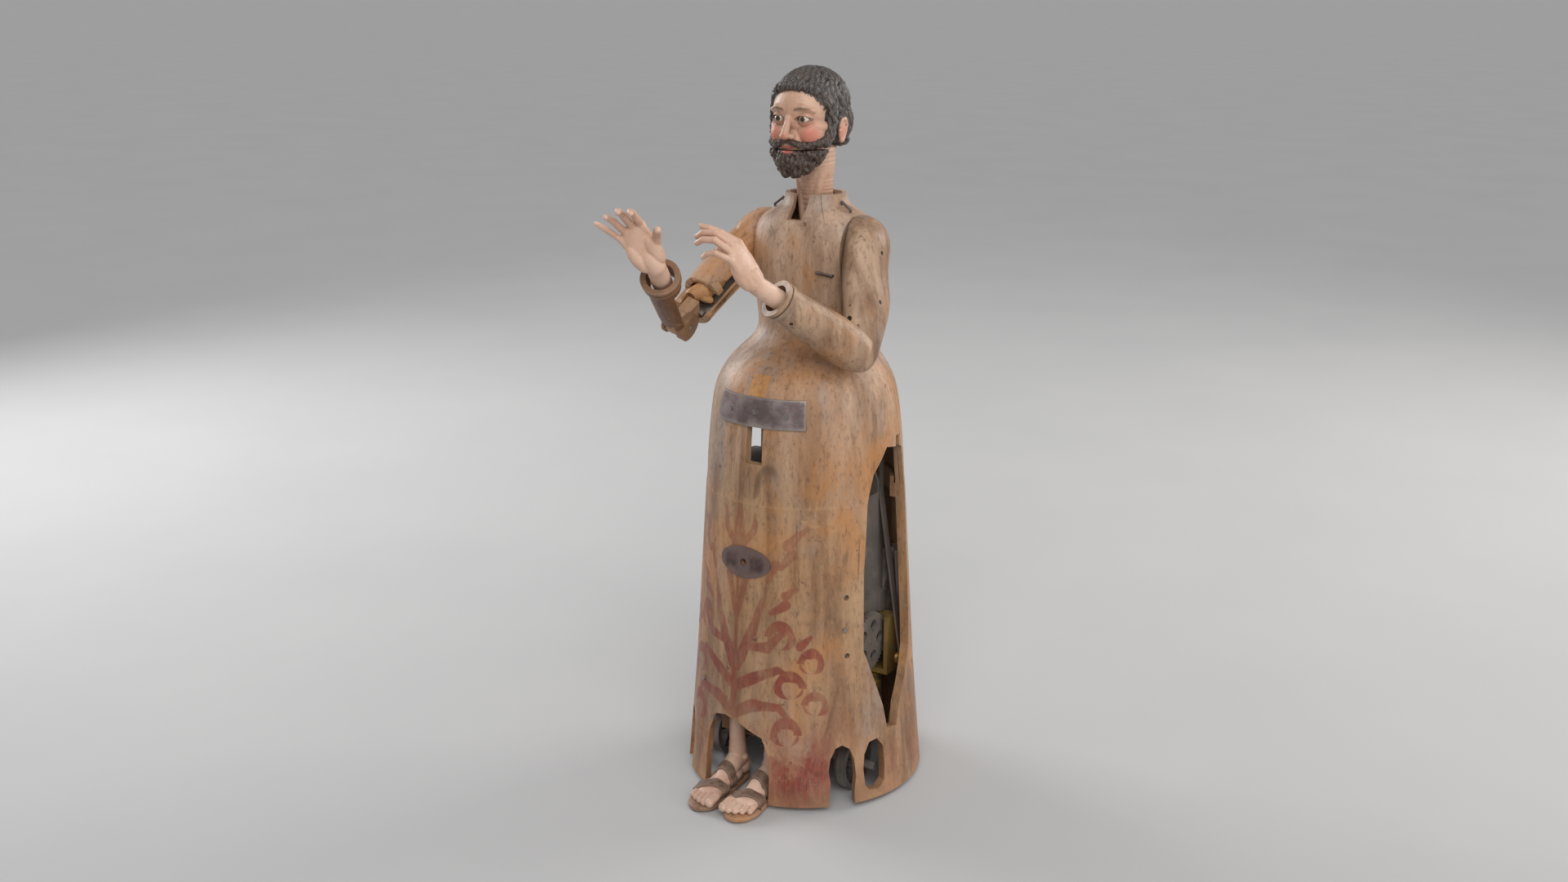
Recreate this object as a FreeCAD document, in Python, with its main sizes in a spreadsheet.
import FreeCAD, Part
import Sketcher
import math
import os
import re
from types import SimpleNamespace

Vector = FreeCAD.Vector
Placement = FreeCAD.Placement
Rotation = FreeCAD.Rotation

# A standing friar figure of carved wood, 400 mm tall, driven by a spring movement under its skirt.
# The figure faces -Y and its own left is +X. The skirt's axis stands axis_back behind the origin,
# because the arms reach far in front of it. Lengths are in millimetres, angles in degrees.

sizes = {
    # whole figure
    "figure_height": 400,
    "axis_back": 34.15,
    "overrun": 2,
    "fit_gap": 0.05,
    "free_gap": 0.3,
    # carved skirt
    "wall": 5,
    "hem_clearance": 3,
    "hem_radius": 67.8,
    "knee_height": 66,
    "knee_radius": 62.4,
    "joint_height": 172,
    "joint_radius": 55.8,
    "lip_height": 4,
    "lip_depth": 8,
    "lip_width": 2.2,
    "lip_gap": 1.1,
    "notch_width": 9,
    "notch_depth": 12.5,
    "notch_bottom": 319.5,
    "slot_width": 10,
    "slot_bottom": 194.5,
    "slot_top": 219.5,
    "foot_door_left": 16,
    "foot_door_right": -29,
    "foot_door_height": 49,
    "hem_notch_width": 16,
    "hem_notch_height": 38,
    "hem_notch_angle": -40.5,
    "hub_window_width": 15,
    "hub_window_bottom": 8.5,
    "hub_window_height": 29,
    "hub_window_angle": -23,
    # iron and wood trim on the front
    "strap_bottom": 214.8,
    "strap_height": 15.5,
    "strap_thickness": 1,
    "strap_half_angle": 31,
    "nail_radius": 1.3,
    "nail_length": 4,
    "nail_head": 0.8,
    "patch_left": 4.2,
    "patch_right": -6.8,
    "patch_bottom": 230.6,
    "patch_height": 10.5,
    "patch_depth": 4,
    "keyhole_plate_width": 32.5,
    "keyhole_plate_height": 17,
    "keyhole_plate_thickness": 1.2,
    "keyhole_x": -3.8,
    "keyhole_height": 140,
    "keyhole_radius": 2,
    "tie_radius": 0.7,
    "tie_loop_radius": 3,
    # movement plates and what holds them
    "plate_gap_half": 34,
    "plate_thickness": 2.4,
    "plate_half_depth": 27,
    "plate_bottom": 24,
    "plate_shoulder": 158,
    "plate_top": 163,
    "plate_top_half": 20,
    "axle_ear_half": 8,
    "axle_ear_bottom": 8,
    "pillar_radius": 2,
    "pillar_edge": 2.4,
    "pillar_rise": 8.4,
    "top_plate_thickness": 2.5,
    "cap_thickness": 1.5,
    "cap_hatch_half": 17,
    "cap_hatch_front": 7,
    "bracket_width": 12,
    "bracket_thickness": 2.5,
    "bracket_bottom": 82,
    "bracket_height": 48,
    "bolt_low": 89,
    "bolt_high": 122,
    "bolt_radius": 1.5,
    "bolt_sunk": 2,
    "bracket_angle": 36.9,
    "bracket_tab": 8.5,
    "rear_bar_bottom": 25,
    "rear_bar_thickness": 4,
    "rear_bar_front": 18.5,
    "rear_tongue_half": 6,
    "rear_tongue_end": 47,
    "foot_guide_thickness": 6,
    "foot_guide_bottom": 23.5,
    "foot_guide_height": 13,
    # spring barrel and winding
    "pivot_radius": 1.5,
    "barrel_y": 8,
    "barrel_z": 107,
    "barrel_radius": 19.6,
    "barrel_wall": 1.4,
    "barrel_right": -26,
    "barrel_left": 23.2,
    "barrel_arbor_radius": 3.2,
    "spring_thickness": 0.9,
    "spring_inner_radius": 4.6,
    "winding_square": 3.6,
    "winding_end": -51,
    "ratchet_radius": 8,
    "ratchet_thickness": 2,
    "ratchet_teeth": 12,
    "click_y": -5,
    "click_z": 117,
    "click_width": 3,
    # wheel train
    "gear_module": 0.8,
    "gear_thickness": 2.6,
    "great_teeth": 56,
    "pinion_teeth": 10,
    "idler_teeth": 65,
    "axle_gear_teeth": 30,
    "side_wheel_teeth": 42,
    "fly_pinion_teeth": 8,
    "cam_gear_teeth": 40,
    "second_angle": -100,
    "fly_angle": -25,
    "camshaft_angle": 121.2,
    "great_wheel_x": 23.2,
    "idler_x": -13,
    "side_wheel_x": 39,
    "fly_vane_radius": 9,
    "fly_vane_length": 16,
    "fly_vane_thickness": 0.8,
    "fly_vane_x": 4,
    # drive axle and steering wheel
    "axle_y": -16,
    "axle_radius": 2.5,
    "axle_end": 56,
    "drive_wheel_radius": 16,
    "drive_wheel_width": 5,
    "drive_wheel_x": 39.6,
    "rim_depth": 3,
    "hub_radius": 5,
    "hub_width": 9,
    "spoke_width": 2.6,
    "spoke_count": 5,
    "steer_y": 42,
    "steer_wheel_radius": 9,
    "steer_wheel_width": 5,
    "steer_pin_radius": 1.5,
    "fork_thickness": 2.4,
    "fork_stem_radius": 2.5,
    "fork_collar_radius": 4.5,
    # cams, levers and rods
    "cam_base_radius": 8,
    "cam_lobe_radius": 12,
    "cam_thickness": 3,
    "lever_rod_y": 3,
    "lever_rod_z": 155,
    "lever_rod_radius": 1.8,
    "lever_hub_radius": 3.6,
    "lever_thickness": 3,
    "lever_nose_y": -20,
    "rod_x": 14,
    "rod_y": 13,
    "rod_radius": 1.1,
    "rod_eye_radius": 3.4,
    "crank_arm": 7,
    "crank_thickness": 2.4,
    "crank_pin_radius": 0.9,
    # shoulders and arms
    "shoulder_y": 6,
    "shoulder_z": 305,
    "arm_flat": 25.3,
    "arm_flat_reach": 50,
    "arm_flat_flare": 4.7,
    "shoulder_axle_radius": 2.2,
    "cuff_length": 5,
    "cuff_lip": 0.7,
    "cuff_bore": 7.4,
    "cuff_bore_depth": 6,
    "wrist_radius": 5.8,
    "wrist_ball_radius": 6,
    "hand_length": 43,
    "left_wrist_length": 13,
    "right_wrist_length": 10,
    "elbow_radius": 9,
    "elbow_tongue_width": 7,
    "elbow_cheek_width": 4.5,
    "elbow_pin_radius": 1.6,
    # head
    "neck_y": 10,
    "neck_post_radius": 2.5,
    "neck_collar_radius": 4.2,
    "nod_pin_z": 318,
    "nod_pin_radius": 1.1,
    "nod_rod_offset": 6.2,
    "nod_link_z": 318,
    "nod_rod_radius": 1,
    "neck_guide_z": 288,
    "neck_guide_thickness": 5,
    "neck_slot_half": 2.9,
    "neck_slot_front": 6,
    "eye_radius": 3.2,
    "eye_x": 7.5,
    "eye_y": -14.3,
    "eye_z": 373,
    "eye_pin_radius": 0.6,
    "eye_pin_end": 1,
    "jaw_top": 357,
    "jaw_back": -4.5,
    "jaw_room_back": -1,
    "jaw_pin_y": 6,
    "jaw_pin_z": 366,
    "jaw_tongue_half": 3,
    "jaw_pin_radius": 1.1,
    # side strap, cocks and what was fitted round them
    "strap_back": 4,
    "side_strap_y": 19,
    "side_strap_thickness": 1.2,
    "side_strap_break": 165,
    "side_strap_top": 186,
    "side_strap_bottom": 62,
    "side_strap_out": 51,
    "strap_screw_z": 67,
    "screw_head_radius": 3.4,
    "screw_head_height": 1.8,
    "screw_shank_radius": 1.6,
    "screw_slot": 0.8,
    "cock_thickness": 2.5,
    "cock_x": 44,
    "cock_front": 14,
    "cock_foot": 6.2,
    "cock_back": 25,
    "cock_bottom": 58,
    "cock_top": 93,
    "low_cock_front": -6,
    "low_cock_back": 18,
    "low_cock_bottom": 44,
    "low_cock_top": 57,
    "strap_screw_y": 21,
    "strap_screw_length": 7,
    "low_cock_screw_y": 14,
    "low_cock_screw_z": 50,
    "pinion_width": 5,
    "ratchet_end": -44,
    "click_angle": 165,
    "fork_top": 21.5,
    "nod_flange_z": 152,
    "nod_swing_room": 3.5,
    "elbow_room": 12.5,
    "nod_eye_radius": 2.4,
    "nod_link_radius": 0.8,
    "sleeve_width": 40,
    "elbow_neck_length": 18,
    "neck_post_top": 321,
    "neck_slot_height": 20,
    "neck_slot_rise": 6,
    "hair_drop": 104,
    "jaw_room_height": 13,
    "ankle_set": 10,
    "left_foot_x": 6.5,
    "right_foot_x": -17,
    "foot_length": 52,
    "foot_width": 21,
    "foot_tip_y": -88,
    "foot_lift": 1,
    "foot_top": 44,
    "tongue_size": 5,
    "tongue_z": 27.5,
    "tongue_back_y": -21,
    "toe_count": 5,
    "sandal_thickness": 2.5,
}

# Sizes that follow from the ones above. The sheet works them out, so a changed size carries on.
worked_out = {
    "inner_joint_radius": "joint_radius - wall",
    "inner_knee_radius": "knee_radius - wall",
    "inner_hem_radius": "hem_radius - wall",
    "plate_outside": "plate_gap_half + plate_thickness",
    "bore_radius": "pivot_radius + fit_gap",
    "great_pitch": "gear_module * great_teeth / 2",
    "pinion_pitch": "gear_module * pinion_teeth / 2",
    "idler_pitch": "gear_module * idler_teeth / 2",
    "axle_gear_pitch": "gear_module * axle_gear_teeth / 2",
    "side_wheel_pitch": "gear_module * side_wheel_teeth / 2",
    "fly_pinion_pitch": "gear_module * fly_pinion_teeth / 2",
    "cam_gear_pitch": "gear_module * cam_gear_teeth / 2",
    "second_y": "barrel_y + (great_pitch + pinion_pitch) * cos(second_angle)",
    "second_z": "barrel_z + (great_pitch + pinion_pitch) * sin(second_angle)",
    "camshaft_y": "barrel_y + (great_pitch + cam_gear_pitch) * cos(camshaft_angle)",
    "camshaft_z": "barrel_z + (great_pitch + cam_gear_pitch) * sin(camshaft_angle)",
    "fly_y": "second_y + (side_wheel_pitch + fly_pinion_pitch) * cos(fly_angle)",
    "fly_z": "second_z + (side_wheel_pitch + fly_pinion_pitch) * sin(fly_angle)",
    "axle_z": "drive_wheel_radius",
    "down_train_y": "axle_y - second_y",
    "down_train_z": "axle_z - second_z",
    "down_train_span": "sqrt(down_train_y ^ 2 + down_train_z ^ 2)",
    "idler_reach": "pinion_pitch + idler_pitch",
    "axle_reach": "idler_pitch + axle_gear_pitch",
    "idler_along": "(down_train_span ^ 2 + idler_reach ^ 2 - axle_reach ^ 2) / (2 * down_train_span)",
    "idler_aside": "sqrt(idler_reach ^ 2 - idler_along ^ 2)",
    "idler_y": "second_y + (idler_along * down_train_y - idler_aside * down_train_z) / down_train_span",
    "idler_z": "second_z + (idler_along * down_train_z + idler_aside * down_train_y) / down_train_span",
    "shoulder_bore": "shoulder_axle_radius + fit_gap",
    "crank_x": "rod_x + crank_thickness / 2 + free_gap",
    "lever_x": "rod_x + crank_thickness / 2 + free_gap + lever_thickness / 2",
    "lever_nose_z": "camshaft_z + cam_lobe_radius + free_gap",
    "nod_rod_y": "neck_y + nod_rod_offset",
}

# The carved body from the joint line up to the collar: height, half width, half depth and set-back of
# each section as shares of the figure's height, then its wall as a share of the wall.
body_rows_shares = (
    (0.4300, 0.13950, 0.13950, 0.0000, 1.0),
    (0.4600, 0.13700, 0.13700, 0.0000, 1.0),
    (0.4950, 0.13475, 0.13475, 0.0000, 1.0),
    (0.5325, 0.13100, 0.13100, 0.0000, 1.0),
    (0.5600, 0.12700, 0.12700, 0.0000, 1.0),
    (0.5780, 0.12200, 0.12200, 0.0005, 1.0),
    (0.5930, 0.11500, 0.11500, 0.0015, 1.0),
    (0.6080, 0.10500, 0.10400, 0.0030, 1.0),
    (0.6220, 0.09200, 0.09000, 0.0060, 1.0),
    (0.6350, 0.08000, 0.07500, 0.0090, 1.0),
    (0.6480, 0.07500, 0.06700, 0.0120, 1.0),
    (0.6700, 0.07800, 0.06600, 0.0160, 1.0),
    (0.7100, 0.08600, 0.06900, 0.0190, 1.0),
    (0.7600, 0.09300, 0.07000, 0.0210, 1.0),
    (0.7850, 0.08900, 0.06500, 0.0230, 1.0),
    (0.8030, 0.06900, 0.05500, 0.0240, 0.9),
    (0.8130, 0.05100, 0.04600, 0.0250, 0.7),
    (0.8210, 0.04450, 0.04100, 0.0250, 0.5),
    (0.8310, 0.04250, 0.03850, 0.0250, 0.5),
)

# Side window seen from the figure's left: set-back and height as shares of the figure's height.
window_outline_shares = (
    (-0.0100, 0.5000), (-0.0400, 0.4680), (-0.0530, 0.4300), (-0.0640, 0.3300), (-0.0700, 0.2250),
    (-0.0430, 0.1380), (-0.0380, 0.1030), (-0.0170, 0.1000), (-0.0080, 0.1300), (0.0120, 0.1600),
    (0.0350, 0.2000), (0.0430, 0.2750), (0.0480, 0.3750), (0.0500, 0.4300), (0.0410, 0.4880),
    (0.0300, 0.4930), (0.0300, 0.5090), (0.0180, 0.5090), (0.0150, 0.4950),
)

# The right window is cut higher and further back.
right_window_outline_shares = window_outline_shares[:12] + (
    (0.0500, 0.3500), (0.0640, 0.3850), (0.0700, 0.4300), (0.0680, 0.4950), (0.0480, 0.5150), (0.0180, 0.5150),
    (0.0150, 0.4950),
)

# Foot opening: place across as a share of its half width, height as a share of its height.
foot_door_shares = (
    (-1.00, -1.00), (-1.00, 0.35), (-0.92, 0.72), (-0.70, 0.96), (-0.35, 1.00), (0.05, 0.97),
    (0.40, 0.90), (0.75, 0.84), (0.97, 0.62), (1.00, 0.30), (1.00, -1.00),
)

# Hem notch and hub window: place across as a share of the half width, height as a share of the height.
hem_notch_shares = (
    (-0.95, -1.00), (-1.00, 0.20), (-0.88, 0.45), (-1.00, 0.62), (-0.86, 0.80), (-0.50, 0.96), (0.00, 1.00),
    (0.55, 0.93), (0.88, 0.76), (1.00, 0.50), (0.86, 0.25), (1.00, -1.00),
)
hub_window_shares = (
    (-0.55, 0.00), (-0.88, 0.12), (-1.00, 0.45), (-0.86, 0.75), (-0.40, 0.97), (0.35, 1.00), (0.90, 0.80),
    (1.00, 0.45), (0.88, 0.10), (0.30, -0.03),
)

# Left arm, carved in one: each section's set-out, set-back and height, then half width and half depth,
# all as shares of the figure's height.
left_upper_arm_shares = (
    (0.0770, 0.0160, 0.8040, 0.0080, 0.0130),
    (0.0810, 0.0150, 0.7950, 0.0190, 0.0270),
    (0.0880, 0.0100, 0.7780, 0.0255, 0.0375),
    (0.0920, 0.0010, 0.7500, 0.0258, 0.0440),
    (0.0985, -0.0110, 0.7130, 0.0250, 0.0450),
    (0.1080, -0.0270, 0.6750, 0.0248, 0.0410),
    (0.1125, -0.0450, 0.6480, 0.0240, 0.0330),
    (0.1145, -0.0550, 0.6270, 0.0210, 0.0255),
    (0.1155, -0.0600, 0.6140, 0.0110, 0.0130),
)
left_elbow_shares = (0.1140, -0.0590, 0.6370)
left_cuff_shares = (0.0550, -0.1663, 0.7215)

# Right arm: shoulder sections as above, then elbow and cuff points.
right_shoulder_shares = (
    (-0.0770, 0.0160, 0.8040, 0.0080, 0.0130),
    (-0.0810, 0.0140, 0.7950, 0.0190, 0.0260),
    (-0.0880, 0.0080, 0.7780, 0.0250, 0.0350),
    (-0.0900, -0.0020, 0.7550, 0.0250, 0.0370),
    (-0.0900, -0.0160, 0.7320, 0.0230, 0.0300),
    (-0.0900, -0.0260, 0.7160, 0.0130, 0.0160),
)
right_sleeve_start_shares = (-0.0905, -0.0050, 0.7560)
right_elbow_shares = (-0.1050, -0.15375, 0.67125)
right_cuff_shares = (-0.0650, -0.2475, 0.7500)

# Girth of the sleeves: place along the sleeve, then radius as a share of the cuff's radius.
cuff_radius_share = 0.0240
forearm_girth_shares = ((0.0, 1.12), (0.25, 1.22), (0.5, 1.16), (0.75, 1.03), (0.9, 0.96), (1.0, 0.95))
right_sleeve_girth_shares = ((0.0, 1.25), (0.3, 1.28), (0.66, 1.20))
right_trough_girth_shares = ((0.55, 1.22), (0.66, 1.20), (0.81, 1.14))
right_forearm_girth_shares = ((0.0, 0.94), (0.25, 1.00), (0.5, 0.98), (0.75, 0.95), (0.9, 0.94), (1.0, 0.95))

# Open troughs of the right arm: bore as a share of the girth, how far off the middle the side is left, and
# start, end and set-off of the forearm's channel.
trough_bore_share = 0.72
trough_edge_share = 0.20
channel_shares = (0.22, 0.80, 0.33)

# Cuff rings: start as a share of the cuff's length, width as the same.
cuff_ring_shares = ((1.0, 0.4), (0.4, 0.4))

# Hands: finger direction, the direction from the little finger to the thumb side, and which side of
# these the palm is on.
left_hand_ways = ((-0.300, -0.475, 0.823), (-0.120, 0.880, 0.460), 1)
right_hand_ways = ((-0.396, -0.412, 0.820), (0.680, 0.468, 0.564), -1)

# Palm sections: place along the hand, shift across, half width and half thickness, shares of its length.
palm_shares = (
    (0.00, 0.000, 0.140, 0.135), (0.12, 0.005, 0.160, 0.120),
    (0.24, 0.010, 0.195, 0.110), (0.40, 0.010, 0.215, 0.095), (0.52, 0.005, 0.205, 0.075),
)

# Fingers from thumb to little: root along and across, the three lengths and the girth, shares of the
# hand's length.
finger_shares = (
    (0.17, 0.130, 0.230, 0.170, 0.130, 0.054),
    (0.52, 0.155, 0.235, 0.140, 0.105, 0.046),
    (0.55, 0.055, 0.260, 0.160, 0.110, 0.047),
    (0.53, -0.045, 0.240, 0.150, 0.110, 0.045),
    (0.49, -0.135, 0.190, 0.110, 0.095, 0.040),
)
finger_taper_shares = (1.0, 0.94, 0.86, 0.74)

# Spread and first two bends of each finger in degrees. The third joint bends last_bend_share of the second.
left_finger_angles = ((24, 34, 24), (0, 36, 11), (1, 30, 42), (-1, 26, 44), (-6, 38, 42))
right_finger_angles = ((34, 30, 28), (4, 38, 30), (2, 34, 28), (-6, 29, 22), (-16, 15, 9))
last_bend_share = 0.7

# Head with its hair, and the beard: height, half width, half depth and set-back of each section as
# shares of the figure's height.
head_rows_shares = (
    (0.7800, 0.0235, 0.0240, 0.0250), (0.8300, 0.0235, 0.0240, 0.0245), (0.8520, 0.0250, 0.0280, 0.0220),
    (0.8680, 0.0310, 0.0370, 0.0120), (0.8850, 0.0390, 0.0470, 0.0050), (0.9050, 0.0430, 0.0510, 0.0040),
    (0.9300, 0.0455, 0.0530, 0.0040), (0.9500, 0.0460, 0.0540, 0.0045), (0.9700, 0.0430, 0.0510, 0.0050),
    (0.9850, 0.0345, 0.0410, 0.0060), (0.9950, 0.0210, 0.0260, 0.0070), (0.9992, 0.0080, 0.0100, 0.0075),
)
hair_rows_shares = (
    (0.8950, 0.0440, 0.0400, 0.0180), (0.9100, 0.0490, 0.0480, 0.0130), (0.9300, 0.0505, 0.0545, 0.0080),
    (0.9500, 0.0505, 0.0570, 0.0060), (0.9700, 0.0475, 0.0545, 0.0060), (0.9860, 0.0390, 0.0450, 0.0070),
    (0.9960, 0.0250, 0.0300, 0.0080), (1.0000, 0.0100, 0.0120, 0.0080),
)
hair_line_shares = (-0.0270, 0.9640)
beard_rows_shares = (
    (0.8560, 0.0130, 0.0100, -0.0400), (0.8640, 0.0250, 0.0190, -0.0330), (0.8760, 0.0350, 0.0290, -0.0240),
    (0.8880, 0.0395, 0.0370, -0.0170), (0.8990, 0.0410, 0.0420, -0.0120),
)
nose_shares = ((0.9350, 0.0035, 0.0030, -0.0480), (0.9180, 0.0055, 0.0070, -0.0500),
               (0.9060, 0.0080, 0.0100, -0.0500), (0.9010, 0.0060, 0.0060, -0.0480))
ear_shares = (0.0470, 0.0120, 0.9170)
ear_size_shares = (0.0060, 0.0110, 0.0190)

# Foot: place from heel to toe tip, half width and height of each section as shares of its size.
foot_rows_shares = (
    (0.00, 0.34, 0.52), (0.12, 0.46, 0.60), (0.30, 0.50, 0.62), (0.50, 0.62, 0.46), (0.70, 0.84, 0.30),
    (0.84, 0.96, 0.22), (0.90, 0.94, 0.18),
)
ankle_rows_shares = (
    (0.20, 0.30, 0.46), (0.40, 0.27, 0.38), (0.70, 0.24, 0.30), (1.00, 0.20, 0.22),
)

# Toes from the great toe out: radius as a share of the foot's width, set-back as a share of its length.
toe_row_share = 0.86
toe_radius_shares = (0.125, 0.095, 0.090, 0.085, 0.078)
toe_set_shares = (0.00, 0.01, 0.035, 0.07, 0.11)
sole_outline_shares = ((0.00, 0.40), (0.10, 0.58), (0.35, 0.60), (0.60, 0.84), (0.80, 1.04), (0.94, 0.98),
                       (1.02, 0.62), (1.03, 0.20))

# Places of the nails: angle round the axis, then height as a share of the figure's height.
strap_nail_places = ((-109.0, 0.5555), (-70.0, 0.5545), (-90.0, 0.5570))
skirt_nail_places = ((-112.0, 0.1100), (-124.0, 0.1560), (-38.0, 0.2600))

# Ties: start, end and the way their bow stands, the first two as shares of the figure's height.
shoulder_middle_shares = (0.0, 0.0200, 0.7600)
tie_shares = (
    ((-0.0450, 0.0150, 0.8180), (-0.0590, 0.0150, 0.8080), (-0.3, 0.0, 0.9)),
    ((0.0450, 0.0150, 0.8180), (0.0590, 0.0150, 0.8080), (0.3, 0.0, 0.9)),
    ((0.0425, -0.0410, 0.7350), (0.0600, -0.0325, 0.7300), (0.0, -1.0, 0.0)),
)

# Teeth: height above and depth below the pitch circle in modules, half widths as shares of the pitch.
tip_share = 0.8
root_share = 1.1
tip_half_share = 0.10
pitch_half_share = 0.22
root_half_share = 0.30
wheel_hole_share = 0.20
wheel_hole_reach_share = 0.58
ratchet_root_share = 0.78
lid_width_share = 0.96
lid_height_share = 0.58

# Counts that only shape curves.
ring_count = 14
spring_turns_count = 9
spring_step_count = 20

doc = FreeCAD.newDocument("MonkAutomaton")
sheet = doc.addObject("Spreadsheet::Sheet", "Sizes")


def fill_sheet():
    contents = [(name, str(number)) for name, number in sizes.items()]
    contents += [(name, "=" + words) for name, words in worked_out.items()]
    for row, (name, content) in enumerate(contents, 1):
        sheet.set("A%d" % row, name)
        sheet.set("B%d" % row, content)
        sheet.setAlias("B%d" % row, name)
    doc.recompute()
    return SimpleNamespace(**{name: float(sheet.get(name)) for name, _ in contents})


mm = fill_sheet()


# Binding to the sheet

def formula(words):
    """The words with every size's name pointed at its cell in the sheet."""
    def cell(found):
        return "Sizes." + found.group() if hasattr(mm, found.group()) else found.group()
    return re.sub(r"[a-z_]+", cell, words)


def worth(words):
    return float(sheet.evalExpression(formula(words)))


def bind(item, **formulas):
    for property_name, words in formulas.items():
        item.setExpression(property_name.replace("__", "."), formula(words))


def move(item, x="0", y="0", z="0"):
    """Every plain solid, body and feature is placed from the skirt's axis."""
    bind(item, Placement__Base__x=x, Placement__Base__y="axis_back + " + y, Placement__Base__z=z)
    return item


# Plain solids

turns = {"x": Rotation(Vector(0, 1, 0), 90), "y": Rotation(Vector(1, 0, 0), -90), "z": Rotation()}


def cylinder(name, radius, length, x="0", y="0", z="0", along="z"):
    rod = doc.addObject("Part::Cylinder", name)
    rod.Placement = Placement(Vector(), turns[along])
    bind(rod, Radius=radius, Height=length)
    return move(rod, x, y, z)


def cone(name, bottom, top, height, z):
    shell = doc.addObject("Part::Cone", name)
    bind(shell, Radius1=bottom, Radius2=top, Height=height)
    return move(shell, z=z)


def box(name, x, y, z, width, depth, height):
    block = doc.addObject("Part::Box", name)
    bind(block, Length=width, Width=depth, Height=height)
    return move(block, x, y, z)


def join(kind, name, items):
    whole = doc.addObject(kind, name)
    whole.Shapes = list(items)
    return whole


def fuse(name, *items):
    return join("Part::MultiFuse", name, items)


def common(name, *items):
    return join("Part::MultiCommon", name, items)


def cut(name, base, *tools):
    """The base less one tool after the other. The last step carries the name."""
    for number, tool in enumerate(tools, 1):
        step = doc.addObject("Part::Cut", name if number == len(tools) else "%sStep%d" % (name, number))
        step.Base = base
        step.Tool = tool
        base = step
    return base


def feature(name, shape):
    item = doc.addObject("Part::Feature", name)
    item.Shape = Part.makeCompound([shape])
    item.Placement = Placement(Vector(0, mm.axis_back, 0), Rotation())
    return move(item)


# Bodies made from sketches

def origin_plane(body, role):
    return [part for part in body.Origin.OriginFeatures if part.Role == role][0]


def draw_outline(sketch, points):
    first = sketch.GeometryCount
    places = [(worth(across), worth(up)) for across, up in points]
    for index, place in enumerate(places):
        following = places[(index + 1) % len(places)]
        sketch.addGeometry(Part.LineSegment(Vector(*place, 0), Vector(*following, 0)))
    for index, (across, up) in enumerate(points):
        line = first + index
        following = first + (index + 1) % len(points)
        sketch.addConstraint(Sketcher.Constraint("Coincident", line, 2, following, 1))
        hold(sketch, "DistanceX", line, 1, across)
        hold(sketch, "DistanceY", line, 1, up)


def hold(sketch, kind, geometry, point, words):
    start = worth(words)
    row = sketch.addConstraint(Sketcher.Constraint(kind, -1, 1, geometry, point, start))
    sketch.setExpression("Constraints[%d]" % row, formula(words))


def draw_circle(sketch, across, up, radius):
    centre = Vector(worth(across), worth(up), 0)
    ring = sketch.addGeometry(Part.Circle(centre, Vector(0, 0, 1), worth(radius)))
    row = sketch.addConstraint(Sketcher.Constraint("Radius", ring, worth(radius)))
    sketch.setExpression("Constraints[%d]" % row, formula(radius))
    hold(sketch, "DistanceX", ring, 3, across)
    hold(sketch, "DistanceY", ring, 3, up)


def new_sketch(body, name, role):
    sketch = body.newObject("Sketcher::SketchObject", name)
    sketch.AttachmentSupport = (origin_plane(body, role), [""])
    sketch.MapMode = "FlatFace"
    return sketch


def side_plate(name, outline, holes, thickness, x):
    """A plate that faces +X, from its outline and round holes in the YZ plane."""
    body = doc.addObject("PartDesign::Body", name)
    sketch = new_sketch(body, name + "Outline", "YZ_Plane")
    draw_outline(sketch, outline)
    for across, up, radius in holes:
        draw_circle(sketch, across, up, radius)
    pad = body.newObject("PartDesign::Pad", name + "Pad")
    pad.Profile = sketch
    bind(pad, Length=thickness)
    return move(body, x=x)


def turned(name, outline, x, y, z):
    """A turned piece with its axis along X, from (along, radius) points."""
    body = doc.addObject("PartDesign::Body", name)
    sketch = new_sketch(body, name + "Profile", "XZ_Plane")
    draw_outline(sketch, outline)
    spin = body.newObject("PartDesign::Revolution", name + "Turn")
    spin.Profile = sketch
    spin.ReferenceAxis = (sketch, ["H_Axis"])
    spin.Angle = 360
    return move(body, x, y, z)


# Lofts through round sections

def ring(centre, first, second):
    """Closed curve round the centre through the ends of the two half axes."""
    points = []
    for step in range(ring_count):
        angle = 2 * math.pi * step / ring_count
        points.append(centre + first * math.cos(angle) + second * math.sin(angle))
    curve = Part.BSplineCurve()
    curve.interpolate(points, PeriodicFlag=True)
    return Part.Wire(curve.toShape())


def level_loft(rows):
    """Solid through level sections: (x, y, z, half width, half depth) in millimetres."""
    wires = [ring(Vector(x, y, z), Vector(wide, 0, 0), Vector(0, deep, 0)) for x, y, z, wide, deep in rows]
    return Part.makeLoft(wires, True, False)


def along_loft(start, end, girths):
    """Round solid from start to end: (share of the way, radius) sections."""
    way = end - start
    side = way.cross(Vector(0, 0, 1)).normalize()
    top = side.cross(way).normalize()
    wires = [ring(start + way * share, side * radius, top * radius) for share, radius in girths]
    return Part.makeLoft(wires, True, False)


def ball_chain(points, radii):
    """Round limb through the points: a cone between each two and a ball at each end."""
    limb = Part.makeSphere(radii[0], points[0])
    for start, end, thick, thin in zip(points, points[1:], radii, radii[1:]):
        way = end - start
        if thick == thin:
            middle = Part.makeCylinder(thin, way.Length, start, way)
        else:
            middle = Part.makeCone(thick, thin, way.Length, start, way)
        limb = limb.fuse([middle, Part.makeSphere(thin, end)])
    return limb


def sheet_of(points, way):
    """Solid of a flat outline pulled along a way."""
    return Part.Face(Part.makePolygon(list(points) + [points[0]])).extrude(way)


def place_of(shares):
    return Vector(*shares) * mm.figure_height


# Carved body

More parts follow.
